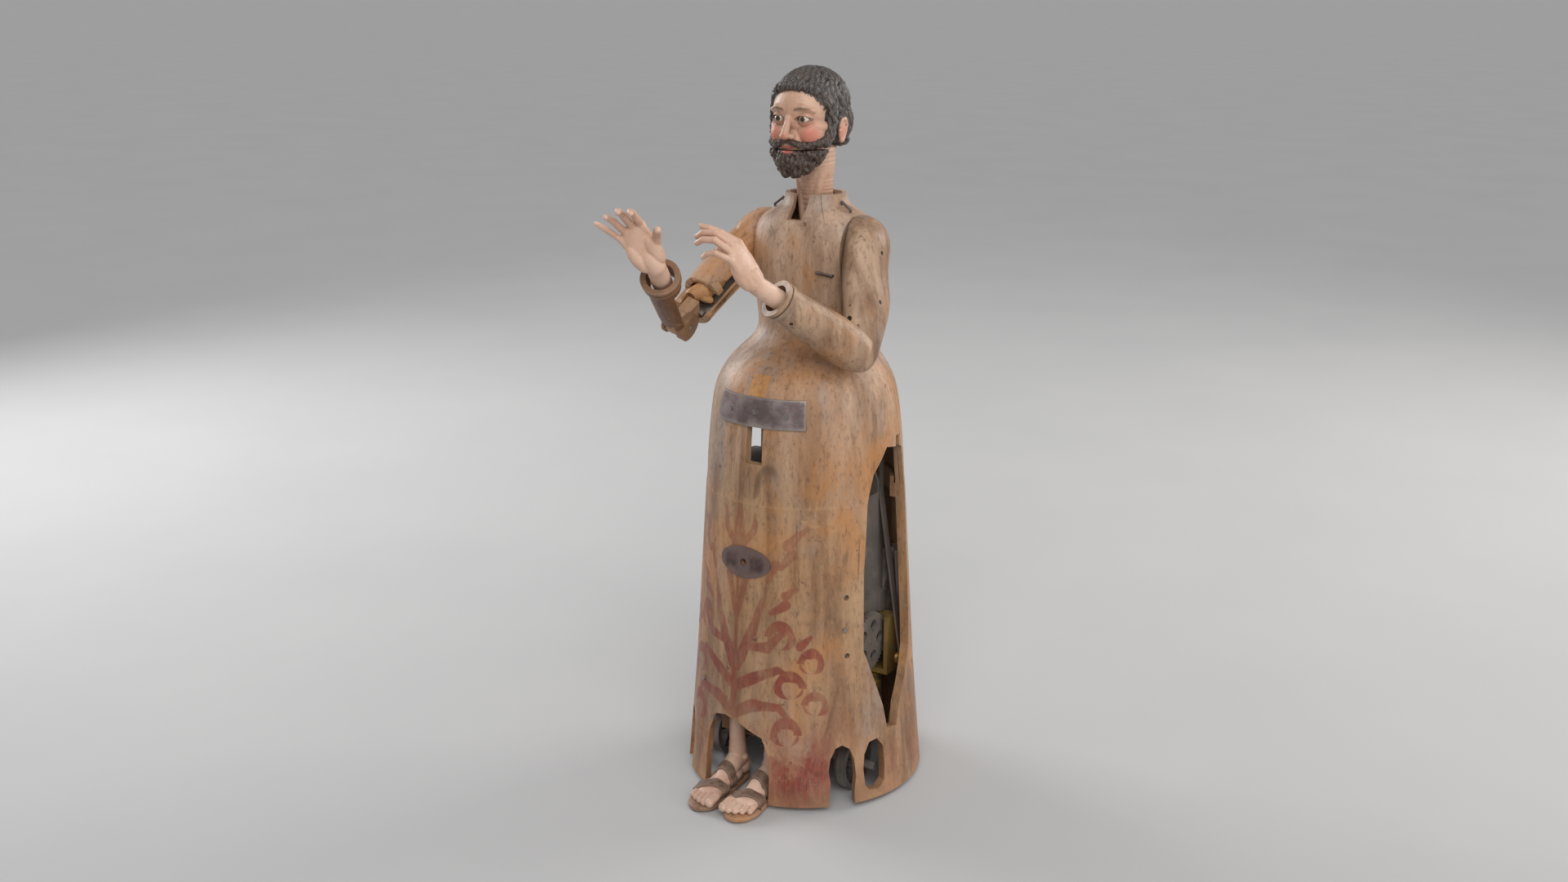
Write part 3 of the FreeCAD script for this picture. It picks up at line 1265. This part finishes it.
def make_barrel():
    wall = "barrel_wall"
    drum = cylinder("BarrelDrum", "barrel_radius", "barrel_left - barrel_right", "barrel_right", "barrel_y",
                    "barrel_z", "x")
    room = cylinder("BarrelRoom", "barrel_radius - barrel_wall", "barrel_left - barrel_right - 2 * barrel_wall",
                    "barrel_right + barrel_wall", "barrel_y", "barrel_z", "x")
    bore = cylinder("BarrelBore", "barrel_arbor_radius + fit_gap", "2 * hem_radius", "-hem_radius", "barrel_y",
                    "barrel_z", "x")
    cut("spring_barrel", drum, room, bore)
    make_spring()
    arbor = stepped("WindingStaff", [
        ("ratchet_end", "barrel_right + " + wall + " + free_gap", "barrel_arbor_radius"),
        ("barrel_right + " + wall + " + free_gap", "barrel_left - " + wall + " - free_gap",
         "spring_inner_radius - free_gap"),
        ("barrel_left - " + wall + " - free_gap", "plate_outside", "barrel_arbor_radius")],
        "barrel_y", "barrel_z")
    square = box("WindingSquare", "winding_end", "barrel_y - winding_square / 2",
                 "barrel_z - winding_square / 2", "ratchet_end - winding_end + overrun", "winding_square",
                 "winding_square")
    fuse("winding_arbor", arbor, square, feature("Ratchet", ratchet_shape()))


def ratchet_shape():
    points = []
    for tooth in range(int(mm.ratchet_teeth)):
        for share, radius in ((0, mm.ratchet_radius), (0.1, mm.ratchet_radius * ratchet_root_share)):
            turn = 2 * math.pi * (tooth + share) / mm.ratchet_teeth
            points.append(Vector(0, radius * math.cos(turn), radius * math.sin(turn)))
    shape = sheet_of(points, Vector(-mm.ratchet_thickness, 0, 0))
    shape.translate(Vector(-mm.plate_outside - mm.free_gap, mm.barrel_y, mm.barrel_z))
    return shape


def make_click():
    start = Vector(-mm.plate_outside - mm.free_gap, mm.click_y, mm.click_z)
    centre = Vector(start.x, mm.barrel_y, mm.barrel_z)
    turn = math.radians(mm.click_angle)
    tip = centre + Vector(0, math.cos(turn), math.sin(turn)) * (mm.ratchet_radius + mm.free_gap)
    way = (tip - start).normalize()
    side = Vector(0, -way.z, way.y) * mm.click_width / 2
    arm = sheet_of([start - side, start + side, tip + side / 4, tip - side / 4], Vector(-mm.ratchet_thickness, 0, 0))
    hub = Part.makeCylinder(mm.click_width, mm.ratchet_thickness, start, Vector(-1, 0, 0))
    stud = Part.makeCylinder(mm.crank_pin_radius, mm.plate_thickness + mm.free_gap, start, Vector(1, 0, 0))
    return feature("click", arm.fuse([hub, stud]))


def make_spring():
    """Flat spiral from the arbor to the drum's wall."""
    inside = mm.spring_inner_radius
    outside = mm.barrel_radius - mm.barrel_wall - mm.spring_thickness
    edges = []
    for lift in (0, mm.spring_thickness):
        points = []
        for step in range(spring_turns_count * spring_step_count + 1):
            share = step / (spring_turns_count * spring_step_count)
            turn = 2 * math.pi * spring_turns_count * share
            radius = inside + (outside - inside) * share + lift
            points.append(Vector(0, radius * math.cos(turn), radius * math.sin(turn)))
        curve = Part.BSplineCurve()
        curve.interpolate(points)
        edges.append((curve.toShape(), points[0], points[-1]))
    (low, low_start, low_end), (high, high_start, high_end) = edges
    ends = [Part.makeLine(low_start, high_start), Part.makeLine(low_end, high_end)]
    face = Part.Face(Part.Wire(Part.__sortEdges__([low, high] + ends)))
    length = mm.barrel_left - mm.barrel_right - 2 * mm.barrel_wall - 2 * mm.free_gap
    spring = face.extrude(Vector(length, 0, 0))
    spring.translate(Vector(mm.barrel_right + mm.barrel_wall + mm.free_gap, mm.barrel_y, mm.barrel_z))
    return feature("mainspring", spring)


# Axles and wheels

def make_drive():
    cylinder("drive_axle", "axle_radius", "2 * axle_end", "-axle_end", "axle_y", "axle_z", "x")
    for name, x in (("left", mm.drive_wheel_x), ("right", -mm.drive_wheel_x - mm.drive_wheel_width)):
        feature("drive_wheel_" + name, spoked_wheel(x))


def spoked_wheel(x):
    centre = Vector(x, mm.axle_y, mm.axle_z)
    out = Vector(1, 0, 0)
    rim = Part.makeCylinder(mm.drive_wheel_radius, mm.drive_wheel_width, centre, out)
    rim = rim.cut(Part.makeCylinder(mm.drive_wheel_radius - mm.rim_depth, mm.drive_wheel_width, centre, out))
    spread = (mm.hub_width - mm.drive_wheel_width) / 2
    pieces = [Part.makeCylinder(mm.hub_radius, mm.hub_width, centre - out * spread, out)]
    for number in range(int(mm.spoke_count)):
        spoke = Part.makeBox(mm.drive_wheel_width - 2 * spread / 2, mm.spoke_width,
                             mm.drive_wheel_radius - mm.rim_depth / 2,
                             centre + Vector(spread / 2, -mm.spoke_width / 2, 0))
        spoke.rotate(centre, out, 360 * number / mm.spoke_count)
        pieces.append(spoke)
    wheel = rim.fuse(pieces)
    return bored(wheel, mm.axle_radius, mm.axle_y, mm.axle_z)


def make_steering():
    half = "steer_wheel_width / 2 + free_gap"
    legs = [box("ForkLeg%d" % number, x, "steer_y - fork_collar_radius", "steer_wheel_radius / 2",
                "fork_thickness", "2 * fork_collar_radius", "fork_top - steer_wheel_radius / 2")
            for number, x in enumerate((half, "-(" + half + " + fork_thickness)"), 1)]
    bridge = box("ForkBridge", "-(" + half + ")", "steer_y - fork_collar_radius", "fork_top - fork_thickness",
                 "2 * (" + half + ")", "2 * fork_collar_radius", "fork_thickness")
    stem = cylinder("ForkStem", "fork_stem_radius", "rear_bar_bottom + rear_bar_thickness + 2 * fork_thickness - fork_top",
                    "0", "steer_y", "fork_top")
    head = cylinder("ForkHead", "fork_collar_radius", "fork_thickness", "0", "steer_y",
                    "rear_bar_bottom + rear_bar_thickness + free_gap")
    bore = cylinder("ForkBore", "steer_pin_radius", "hem_radius", "-hem_radius / 2", "steer_y",
                    "steer_wheel_radius", "x")
    cut("steer_fork", fuse("ForkWhole", bridge, stem, head, *legs), bore)
    wheel = cylinder("SteerDisc", "steer_wheel_radius", "steer_wheel_width", "-steer_wheel_width / 2", "steer_y",
                     "steer_wheel_radius", "x")
    pin = cylinder("SteerPin", "steer_pin_radius - fit_gap", "steer_wheel_width + 2 * fork_thickness + 2 * free_gap",
                   "-steer_wheel_width / 2 - fork_thickness - free_gap", "steer_y", "steer_wheel_radius", "x")
    fuse("steer_wheel", wheel, pin)


# Levers and rods

def make_levers():
    cylinder("lever_rod", "lever_rod_radius", "2 * plate_outside", "-plate_outside", "lever_rod_y", "lever_rod_z",
             "x")
    for name, x in (("right_arm", "-lever_x"), ("left_arm", "lever_x")):
        sign = "-" if name == "right_arm" else ""
        inward = sign + "rod_x - crank_thickness / 2 - free_gap"
        pin_start = "-lever_x" if sign else inward
        pin = cylinder(name + "_lever_pin", "crank_pin_radius", "lever_x - rod_x + crank_thickness / 2 + free_gap",
                       pin_start, "rod_y", "lever_rod_z", "x")
        lever(name + "_lever", x, "rod_y + lever_thickness / 2", pin)
    fork = box("NodForkRoom", "-nod_swing_room", "nod_rod_y - crank_arm / 3", "0", "2 * nod_swing_room",
               "crank_arm", "figure_height")
    plate = box("NodForkPlate", "-crank_arm", "nod_rod_y - crank_arm / 2", "lever_rod_z - free_gap / 2",
                "2 * crank_arm", "crank_arm", "lever_thickness / 2")
    blank = lever("HeadLeverBlank", "0", "nod_rod_y - crank_arm / 4", plate)
    cut("head_lever", blank, fork)


def lever(name, x, back, *extra):
    start = x + " - lever_thickness / 2"
    hub = cylinder(name + "Hub", "lever_hub_radius", "lever_thickness", start, "lever_rod_y", "lever_rod_z", "x")
    nose = box(name + "Nose", start, "lever_nose_y", "lever_nose_z", "lever_thickness",
               "lever_rod_y - lever_nose_y", "lever_thickness")
    tail = box(name + "Tail", start, "lever_rod_y", "lever_rod_z - lever_thickness / 2", "lever_thickness",
               back + " - lever_rod_y", "lever_thickness")
    bore = cylinder(name + "Bore", "lever_rod_radius + fit_gap", "2 * lever_thickness",
                    x + " - lever_thickness", "lever_rod_y", "lever_rod_z", "x")
    return cut(name, fuse(name + "Whole", hub, nose, tail, *extra), bore)


def make_rods():
    for name, x in (("right", "-rod_x"), ("left", "rod_x")):
        start = x + " - crank_thickness / 2"
        rod = cylinder(name + "RodBar", "rod_radius", "shoulder_z - lever_rod_z - 2 * rod_eye_radius + 2 * free_gap",
                       x, "rod_y", "lever_rod_z + rod_eye_radius - free_gap")
        eyes = []
        holes = []
        for end, z in (("Low", "lever_rod_z"), ("High", "shoulder_z")):
            eyes.append(cylinder(name + "Eye" + end, "rod_eye_radius", "crank_thickness", start, "rod_y", z, "x"))
            holes.append(cylinder(name + "EyeHole" + end, "rod_eye_radius - rod_radius", "2 * crank_thickness",
                                  x + " - crank_thickness", "rod_y", z, "x"))
        cut(name + "_arm_rod", fuse(name + "RodWhole", rod, *eyes), *holes)
    bar = cylinder("NodBar", "nod_rod_radius", "nod_link_z - nod_flange_z - nod_rod_radius * 2", "0", "nod_rod_y",
                   "nod_flange_z")
    flange = cylinder("NodFlange", "rod_eye_radius", "free_gap * 4", "0", "nod_rod_y", "nod_flange_z")
    eye = cylinder("NodEye", "nod_eye_radius", "3 * nod_rod_radius", "-nod_rod_radius * 3 / 2", "nod_rod_y",
                   "nod_link_z", "x")
    hole = cylinder("NodEyeHole", "nod_pin_radius", "4 * nod_rod_radius", "-2 * nod_rod_radius", "nod_rod_y",
                    "nod_link_z", "x")
    cut("nod_rod", fuse("NodWhole", bar, flange, eye), hole)


# Shoulders and arms

def make_axles():
    for name, side in (("right", "-"), ("left", "")):
        start = "-(crank_x + crank_arm * 3)" if side else "crank_x"
        staff = cylinder(name + "AxleStaff", "shoulder_axle_radius", "crank_arm * 3", start, "shoulder_y",
                         "shoulder_z", "x")
        plate_x = "-crank_x - crank_thickness" if side else "crank_x"
        hub = cylinder(name + "CrankHub", "lever_hub_radius", "crank_thickness", plate_x, "shoulder_y",
                       "shoulder_z", "x")
        plate = box(name + "CrankArm", plate_x, "shoulder_y", "shoulder_z - lever_thickness / 2",
                    "crank_thickness", "crank_arm + lever_thickness / 2", "lever_thickness")
        pin_x = "-crank_x - crank_thickness / 2" if side else "rod_x - crank_thickness / 2 - free_gap"
        pin = cylinder(name + "CrankPin", "crank_pin_radius", "crank_thickness * 1.5 + 2 * free_gap", pin_x,
                       "shoulder_y + crank_arm", "shoulder_z", "x")
        fuse(name + "_shoulder_axle", staff, hub, plate, pin)


def axle_tool(side):
    far = mm.crank_x + mm.crank_arm * 3
    return Part.makeCylinder(mm.shoulder_axle_radius, far, Vector(0, mm.shoulder_y, mm.shoulder_z),
                             Vector(side, 0, 0))


def arm_rows(shares):
    return [tuple(share * mm.figure_height for share in row) for row in shares]


def cuffed(arm, elbow, cuff):
    """The arm with a double ring at its cuff and a bore for the wrist."""
    way = (cuff - elbow).normalize()
    radius = cuff_radius_share * mm.figure_height
    for start, wide in cuff_ring_shares:
        arm = arm.fuse(Part.makeCylinder(radius + mm.cuff_lip, mm.cuff_length * wide,
                                         cuff - way * mm.cuff_length * start, way))
    return arm.cut(Part.makeCylinder(mm.cuff_bore, mm.cuff_bore_depth + mm.overrun,
                                     cuff - way * mm.cuff_bore_depth, way))


def girths(shares):
    radius = cuff_radius_share * mm.figure_height
    return [(share, thick * radius) for share, thick in shares]


def make_left_arm():
    elbow, cuff = place_of(left_elbow_shares), place_of(left_cuff_shares)
    arm = level_loft(arm_rows(left_upper_arm_shares)).fuse(along_loft(elbow, cuff, girths(forearm_girth_shares)))
    arm = cuffed(arm, elbow, cuff).cut(arm_keep_out(1)).cut(axle_tool(1))
    feature("left_arm", arm)
    feature("left_hand", hand_shape(cuff, (cuff - elbow).normalize(), mm.left_wrist_length, left_hand_ways,
                                    left_finger_angles))


def make_right_arm():
    start, elbow, cuff = (place_of(shares) for shares in
                          (right_sleeve_start_shares, right_elbow_shares, right_cuff_shares))
    upper_way, fore_way = (elbow - start).normalize(), (cuff - elbow).normalize()
    hinge = upper_way.cross(fore_way).normalize()

    def disc(radius, width):
        return Part.makeCylinder(radius, width, elbow - hinge * width / 2, hinge)

    def off_side(way, other):
        """Direction square to an arm piece, away from the other piece."""
        return (way * way.dot(other) - other).normalize()

    upper = level_loft(arm_rows(right_shoulder_shares))
    upper = upper.fuse(along_loft(start, elbow, girths(right_sleeve_girth_shares)))
    outward = off_side(upper_way, fore_way)
    trough = trough_of(start, elbow, hinge, outward)
    tongue = disc(mm.elbow_radius - mm.elbow_cheek_width / 2, mm.elbow_tongue_width)
    reach = trough_bore_share * cuff_radius_share * mm.figure_height
    neck = along_box(elbow - upper_way * mm.elbow_neck_length + outward * reach / 2, elbow + outward * reach / 2,
                     hinge, mm.elbow_tongue_width, mm.elbow_radius + reach)
    bore = along_loft(start, elbow, [(share, thick * trough_bore_share) for share, thick in
                                     girths(right_trough_girth_shares)])
    upper = upper.fuse(trough).cut(bore).fuse([tongue, neck])
    upper = upper.cut(disc(mm.elbow_pin_radius + mm.fit_gap, mm.sleeve_width))
    feature("right_upper_arm", upper.cut(arm_keep_out(-1)).cut(axle_tool(-1)))
    fore = along_loft(elbow, cuff, girths(right_forearm_girth_shares))
    cheeks = disc(mm.elbow_radius, mm.elbow_tongue_width + 2 * mm.elbow_cheek_width)
    first, last, aside = channel_shares
    inward = off_side(fore_way, -upper_way) * -aside * cuff_radius_share * mm.figure_height
    channel = along_loft(elbow + (cuff - elbow) * first + inward, elbow + (cuff - elbow) * last + inward,
                         [(share, thick * trough_bore_share) for share, thick in girths(((0, 1), (1, 1)))])
    fore = cuffed(fore.fuse(cheeks).cut(channel), elbow, cuff)
    fore = fore.cut(disc(mm.elbow_room, mm.elbow_tongue_width + 2 * mm.free_gap))
    pin = disc(mm.elbow_pin_radius, mm.elbow_tongue_width + 2 * mm.elbow_cheek_width)
    feature("right_forearm", fore.fuse(pin))
    feature("right_hand", hand_shape(cuff, fore_way, mm.right_wrist_length, right_hand_ways, right_finger_angles))


def trough_of(start, elbow, hinge, outward):
    """The outer side of the right sleeve from its open end to near the elbow."""
    radius = cuff_radius_share * mm.figure_height
    whole = along_loft(start, elbow, girths(right_trough_girth_shares))
    shift = outward * (mm.sleeve_width / 2 + trough_edge_share * radius)
    return whole.common(along_box(start + shift, elbow + shift, hinge, mm.sleeve_width, mm.sleeve_width))


def along_box(start, end, side, width, height):
    way = end - start
    up = way.cross(side).normalize() * height / 2
    edge = side * width / 2
    return sheet_of([start - edge - up, start + edge - up, start + edge + up, start - edge + up], way)


def hand_shape(cuff, arm_way, wrist, ways, angles):
    along, across = (Vector(*way).normalize() for way in ways[:2])
    across = (across - along * along.dot(across)).normalize()
    normal = along.cross(across)
    length = mm.hand_length
    base = cuff + arm_way * wrist
    stub = Part.makeCylinder(mm.wrist_radius, mm.cuff_bore_depth + wrist, cuff - arm_way * mm.cuff_bore_depth,
                             arm_way)
    rings = [ring(base + along * share * length + across * shift * length, across * wide * length,
                  normal * deep * length) for share, shift, wide, deep in palm_shares]
    hand = Part.makeLoft(rings, True, False).fuse([stub, Part.makeSphere(mm.wrist_ball_radius, base)])
    fingers = []
    for (root, aside, *parts, girth), (spread, *bends) in zip(finger_shares, angles):
        fan = math.radians(spread)
        way = along * math.cos(fan) + across * math.sin(fan)
        points = [base + along * root * length + across * aside * length]
        turn = 0
        for part, bend in zip(parts, bends + [bends[-1] * last_bend_share]):
            turn += math.radians(bend)
            points.append(points[-1] + (way * math.cos(turn) + normal * ways[2] * math.sin(turn)) * part * length)
        fingers.append(ball_chain(points, [girth * length * share for share in finger_taper_shares]))
    return hand.fuse(fingers)


# Neck, head, jaw and eyes

def egg(centre, half_x, half_y, half_z):
    scale = FreeCAD.Matrix()
    scale.scale(Vector(half_x, half_y, half_z))
    shape = Part.makeSphere(1).transformGeometry(scale)
    shape.translate(centre)
    return shape


def head_rows(shares):
    return [(0, back * mm.figure_height, height * mm.figure_height, wide * mm.figure_height,
             deep * mm.figure_height) for height, wide, deep, back in shares]


def make_head():
    head = level_loft(head_rows(head_rows_shares))
    line_y, line_z = (share * mm.figure_height for share in hair_line_shares)
    far = mm.figure_height / 4
    front = Part.makeBox(far, far, far, Vector(-far / 2, line_y - far, line_z - far))
    face_side = Part.makeBox(far, far, far, Vector(-far / 2, line_y / 3 - far, line_z * 2 / 3 - far + mm.hair_drop))
    hair = level_loft(head_rows(hair_rows_shares)).cut(front).cut(face_side)
    ear_x, ear_y, ear_z = (share * mm.figure_height for share in ear_shares)
    ears = [egg(Vector(side * ear_x, ear_y, ear_z), *(share * mm.figure_height for share in ear_size_shares))
            for side in (1, -1)]
    nose = level_loft(list(reversed([(0, back * mm.figure_height, height * mm.figure_height,
                                      wide * mm.figure_height, deep * mm.figure_height)
                                     for height, wide, deep, back in nose_shares])))
    whole = head.fuse([hair, nose] + ears)
    jaw_room = Part.makeBox(far, far, far, Vector(-far / 2, mm.jaw_room_back - far, mm.jaw_top + mm.free_gap - far))
    tongue_half = mm.jaw_tongue_half + mm.free_gap
    drop = 2 * mm.jaw_tongue_half + mm.free_gap
    tongue_room = Part.makeBox(2 * tongue_half, mm.jaw_pin_y - mm.jaw_back + mm.lever_thickness,
                               mm.jaw_room_height + drop, Vector(-tongue_half, mm.jaw_back, mm.jaw_top - drop))
    slot = Part.makeBox(2 * mm.neck_slot_half, far, mm.neck_slot_height,
                        Vector(-mm.neck_slot_half, mm.neck_y - mm.neck_slot_front,
                               mm.nod_pin_z + mm.neck_slot_rise - mm.neck_slot_height))
    pin_bore = Part.makeCylinder(mm.nod_pin_radius + mm.fit_gap, far, Vector(-far / 2, mm.neck_y, mm.nod_pin_z),
                                 Vector(1, 0, 0))
    jaw_bore = Part.makeCylinder(mm.jaw_pin_radius + mm.fit_gap, 4 * mm.jaw_tongue_half + 2 * mm.free_gap,
                                 Vector(-2 * mm.jaw_tongue_half - mm.free_gap, mm.jaw_pin_y, mm.jaw_pin_z),
                                 Vector(1, 0, 0))
    tools = [jaw_room, tongue_room, slot, pin_bore, jaw_bore]
    for side in (1, -1):
        eye = Vector(side * mm.eye_x, mm.eye_y, mm.eye_z)
        tools.append(Part.makeSphere(mm.eye_radius + mm.free_gap, eye))
        tools.append(eye_pin(eye, mm.eye_pin_radius + mm.fit_gap, mm.eye_pin_end + mm.free_gap))
        tools.append(oval_bar(eye - Vector(0, 3 * mm.eye_radius, 0), mm.eye_radius * lid_width_share,
                              mm.eye_radius * lid_height_share, 3 * mm.eye_radius))
    link = Part.makeCylinder(mm.nod_link_radius, 2 * mm.neck_slot_half + 2 * mm.overrun,
                             Vector(-mm.neck_slot_half - mm.overrun, mm.nod_rod_y, mm.nod_link_z), Vector(1, 0, 0))
    feature("head", whole.cut(tools).fuse(link))
    for name, side in (("left_eye", 1), ("right_eye", -1)):
        centre = Vector(side * mm.eye_x, mm.eye_y, mm.eye_z)
        feature(name, Part.makeSphere(mm.eye_radius, centre).fuse(eye_pin(centre, mm.eye_pin_radius, mm.eye_pin_end)))


def eye_pin(centre, radius, end):
    """Upright pin that an eye turns on."""
    half = mm.eye_radius + end
    return Part.makeCylinder(radius, 2 * half, centre - Vector(0, 0, half))


def make_jaw():
    beard = level_loft(head_rows(beard_rows_shares))
    far = mm.figure_height / 4
    behind = Part.makeBox(far, far, far, Vector(-far / 2, mm.jaw_back, mm.jaw_top - far / 2))
    above = Part.makeBox(far, far, far, Vector(-far / 2, -far / 2, mm.jaw_top))
    beard = beard.cut([behind, above])
    half = mm.jaw_tongue_half
    tongue = sheet_of([Vector(-half, mm.jaw_back - half, mm.jaw_top - 2 * half),
                       Vector(-half, mm.jaw_back, mm.jaw_top - 2 * half),
                       Vector(-half, mm.jaw_pin_y + half / 2, mm.jaw_pin_z - half / 2),
                       Vector(-half, mm.jaw_pin_y, mm.jaw_pin_z + half / 2),
                       Vector(-half, mm.jaw_back + 2 * half, mm.jaw_top + half),
                       Vector(-half, mm.jaw_back, mm.jaw_top), Vector(-half, mm.jaw_back - half, mm.jaw_top)],
                      Vector(2 * half, 0, 0))
    pin = Part.makeCylinder(mm.jaw_pin_radius, 4 * half, Vector(-2 * half, mm.jaw_pin_y, mm.jaw_pin_z),
                            Vector(1, 0, 0))
    feature("jaw", beard.fuse([tongue, pin]))


def make_neck_post():
    post = cylinder("PostBar", "neck_post_radius", "neck_post_top - plate_top", "0", "neck_y", "plate_top")
    collar = cylinder("PostCollar", "neck_collar_radius", "cam_thickness / 2 + free_gap * 2", "0", "neck_y",
                      "plate_top + top_plate_thickness + free_gap")
    pin = cylinder("PostPin", "nod_pin_radius", "4 * neck_slot_half", "-2 * neck_slot_half", "neck_y",
                   "nod_pin_z", "x")
    fuse("neck_post", post, collar, pin)


# Feet

def foot_shape(x):
    heel = mm.foot_tip_y + mm.foot_length
    half = mm.foot_width / 2
    sole_top = mm.foot_lift + mm.sandal_thickness
    rings = []
    for share, wide, high in foot_rows_shares:
        tall = high * mm.foot_width
        rings.append(ring(Vector(x, heel - share * mm.foot_length, sole_top + tall / 2 - mm.free_gap),
                          Vector(wide * half, 0, 0), Vector(0, 0, tall / 2)))
    foot = Part.makeLoft(rings, True, False)
    ankle = level_loft([(x, heel - mm.ankle_set, sole_top + (mm.foot_top - sole_top) * share,
                         wide * mm.foot_width, deep * mm.foot_width) for share, wide, deep in ankle_rows_shares])
    toes = []
    for number in range(int(mm.toe_count)):
        share = (number + 0.5) / mm.toe_count * 2 - 1
        toe_x = x + (share if x > 0 else -share) * half * toe_row_share
        radius = mm.foot_width * toe_radius_shares[number]
        tip_y = mm.foot_tip_y + radius + mm.foot_length * toe_set_shares[number]
        toes.append(ball_chain([Vector(toe_x, tip_y + 3 * radius, sole_top + radius),
                                Vector(toe_x, tip_y, sole_top + radius)], [radius, radius]))
    outline = []
    for share, wide in sole_outline_shares:
        outline.append(Vector(x + wide * half, heel - share * mm.foot_length, mm.foot_lift))
    for share, wide in reversed(sole_outline_shares):
        outline.append(Vector(x - wide * half, heel - share * mm.foot_length, mm.foot_lift))
    sole = sheet_of(outline, Vector(0, 0, mm.sandal_thickness))
    tongue = Part.makeBox(mm.tongue_size, mm.tongue_back_y - heel + mm.ankle_set, mm.tongue_size,
                          Vector(x - mm.tongue_size / 2, heel - mm.ankle_set, mm.tongue_z - mm.tongue_size / 2))
    return foot.fuse([ankle, sole, tongue] + toes)


def make_feet():
    feature("left_foot", foot_shape(mm.left_foot_x))
    feature("right_foot", foot_shape(mm.right_foot_x))


# Build, check and write

node_names = (
    "torso_shell", "skirt_shell", "hip_strap", "body_nails", "keyhole_plate", "waist_patch", "shoulder_ties",
    "movement_plate_left", "movement_plate_right", "movement_pillars", "movement_cap", "side_strap",
    "brass_screws", "fly_cock", "lower_cock", "lever_rod", "neck_guide", "rear_bar", "foot_guide",
    "wall_brackets", "drive_axle", "drive_wheel_left", "drive_wheel_right", "axle_gear", "idler_gear",
    "spring_barrel", "great_wheel", "mainspring", "winding_arbor", "click", "second_arbor", "side_wheel",
    "fly", "camshaft", "cam_gear", "cams", "right_arm_lever", "left_arm_lever", "head_lever",
    "right_arm_rod", "left_arm_rod", "nod_rod", "right_upper_arm", "right_shoulder_axle", "right_forearm",
    "right_hand", "left_arm", "left_shoulder_axle", "left_hand", "neck_post", "head", "jaw", "left_eye",
    "right_eye", "left_foot", "right_foot", "steer_fork", "steer_wheel",
)

make_nails()
make_ties()
make_strap()
make_patch()
make_keyhole_plate()
make_torso()
make_skirt()
make_plates()
make_pillars()
make_cap()
make_side_strap()
make_screws()
make_cocks()
make_brackets()
make_rear_bar()
make_foot_guide()
make_neck_guide()
make_train()
make_cams()
make_barrel()
make_click()
make_drive()
make_steering()
make_levers()
make_rods()
make_axles()
make_left_arm()
make_right_arm()
make_neck_post()
make_head()
make_jaw()
make_feet()
doc.recompute()

os.makedirs("parts", exist_ok=True)
for item in doc.Objects:
    if "Invalid" in item.State or "Error" in item.State:
        raise RuntimeError("%s did not compute" % item.Label)
for name in node_names:
    shape = doc.getObject(name).Shape
    if shape.isNull() or not shape.isValid() or not shape.Solids:
        raise RuntimeError("%s has no sound solid" % name)
    shape.exportStep("parts/%s.step" % name)
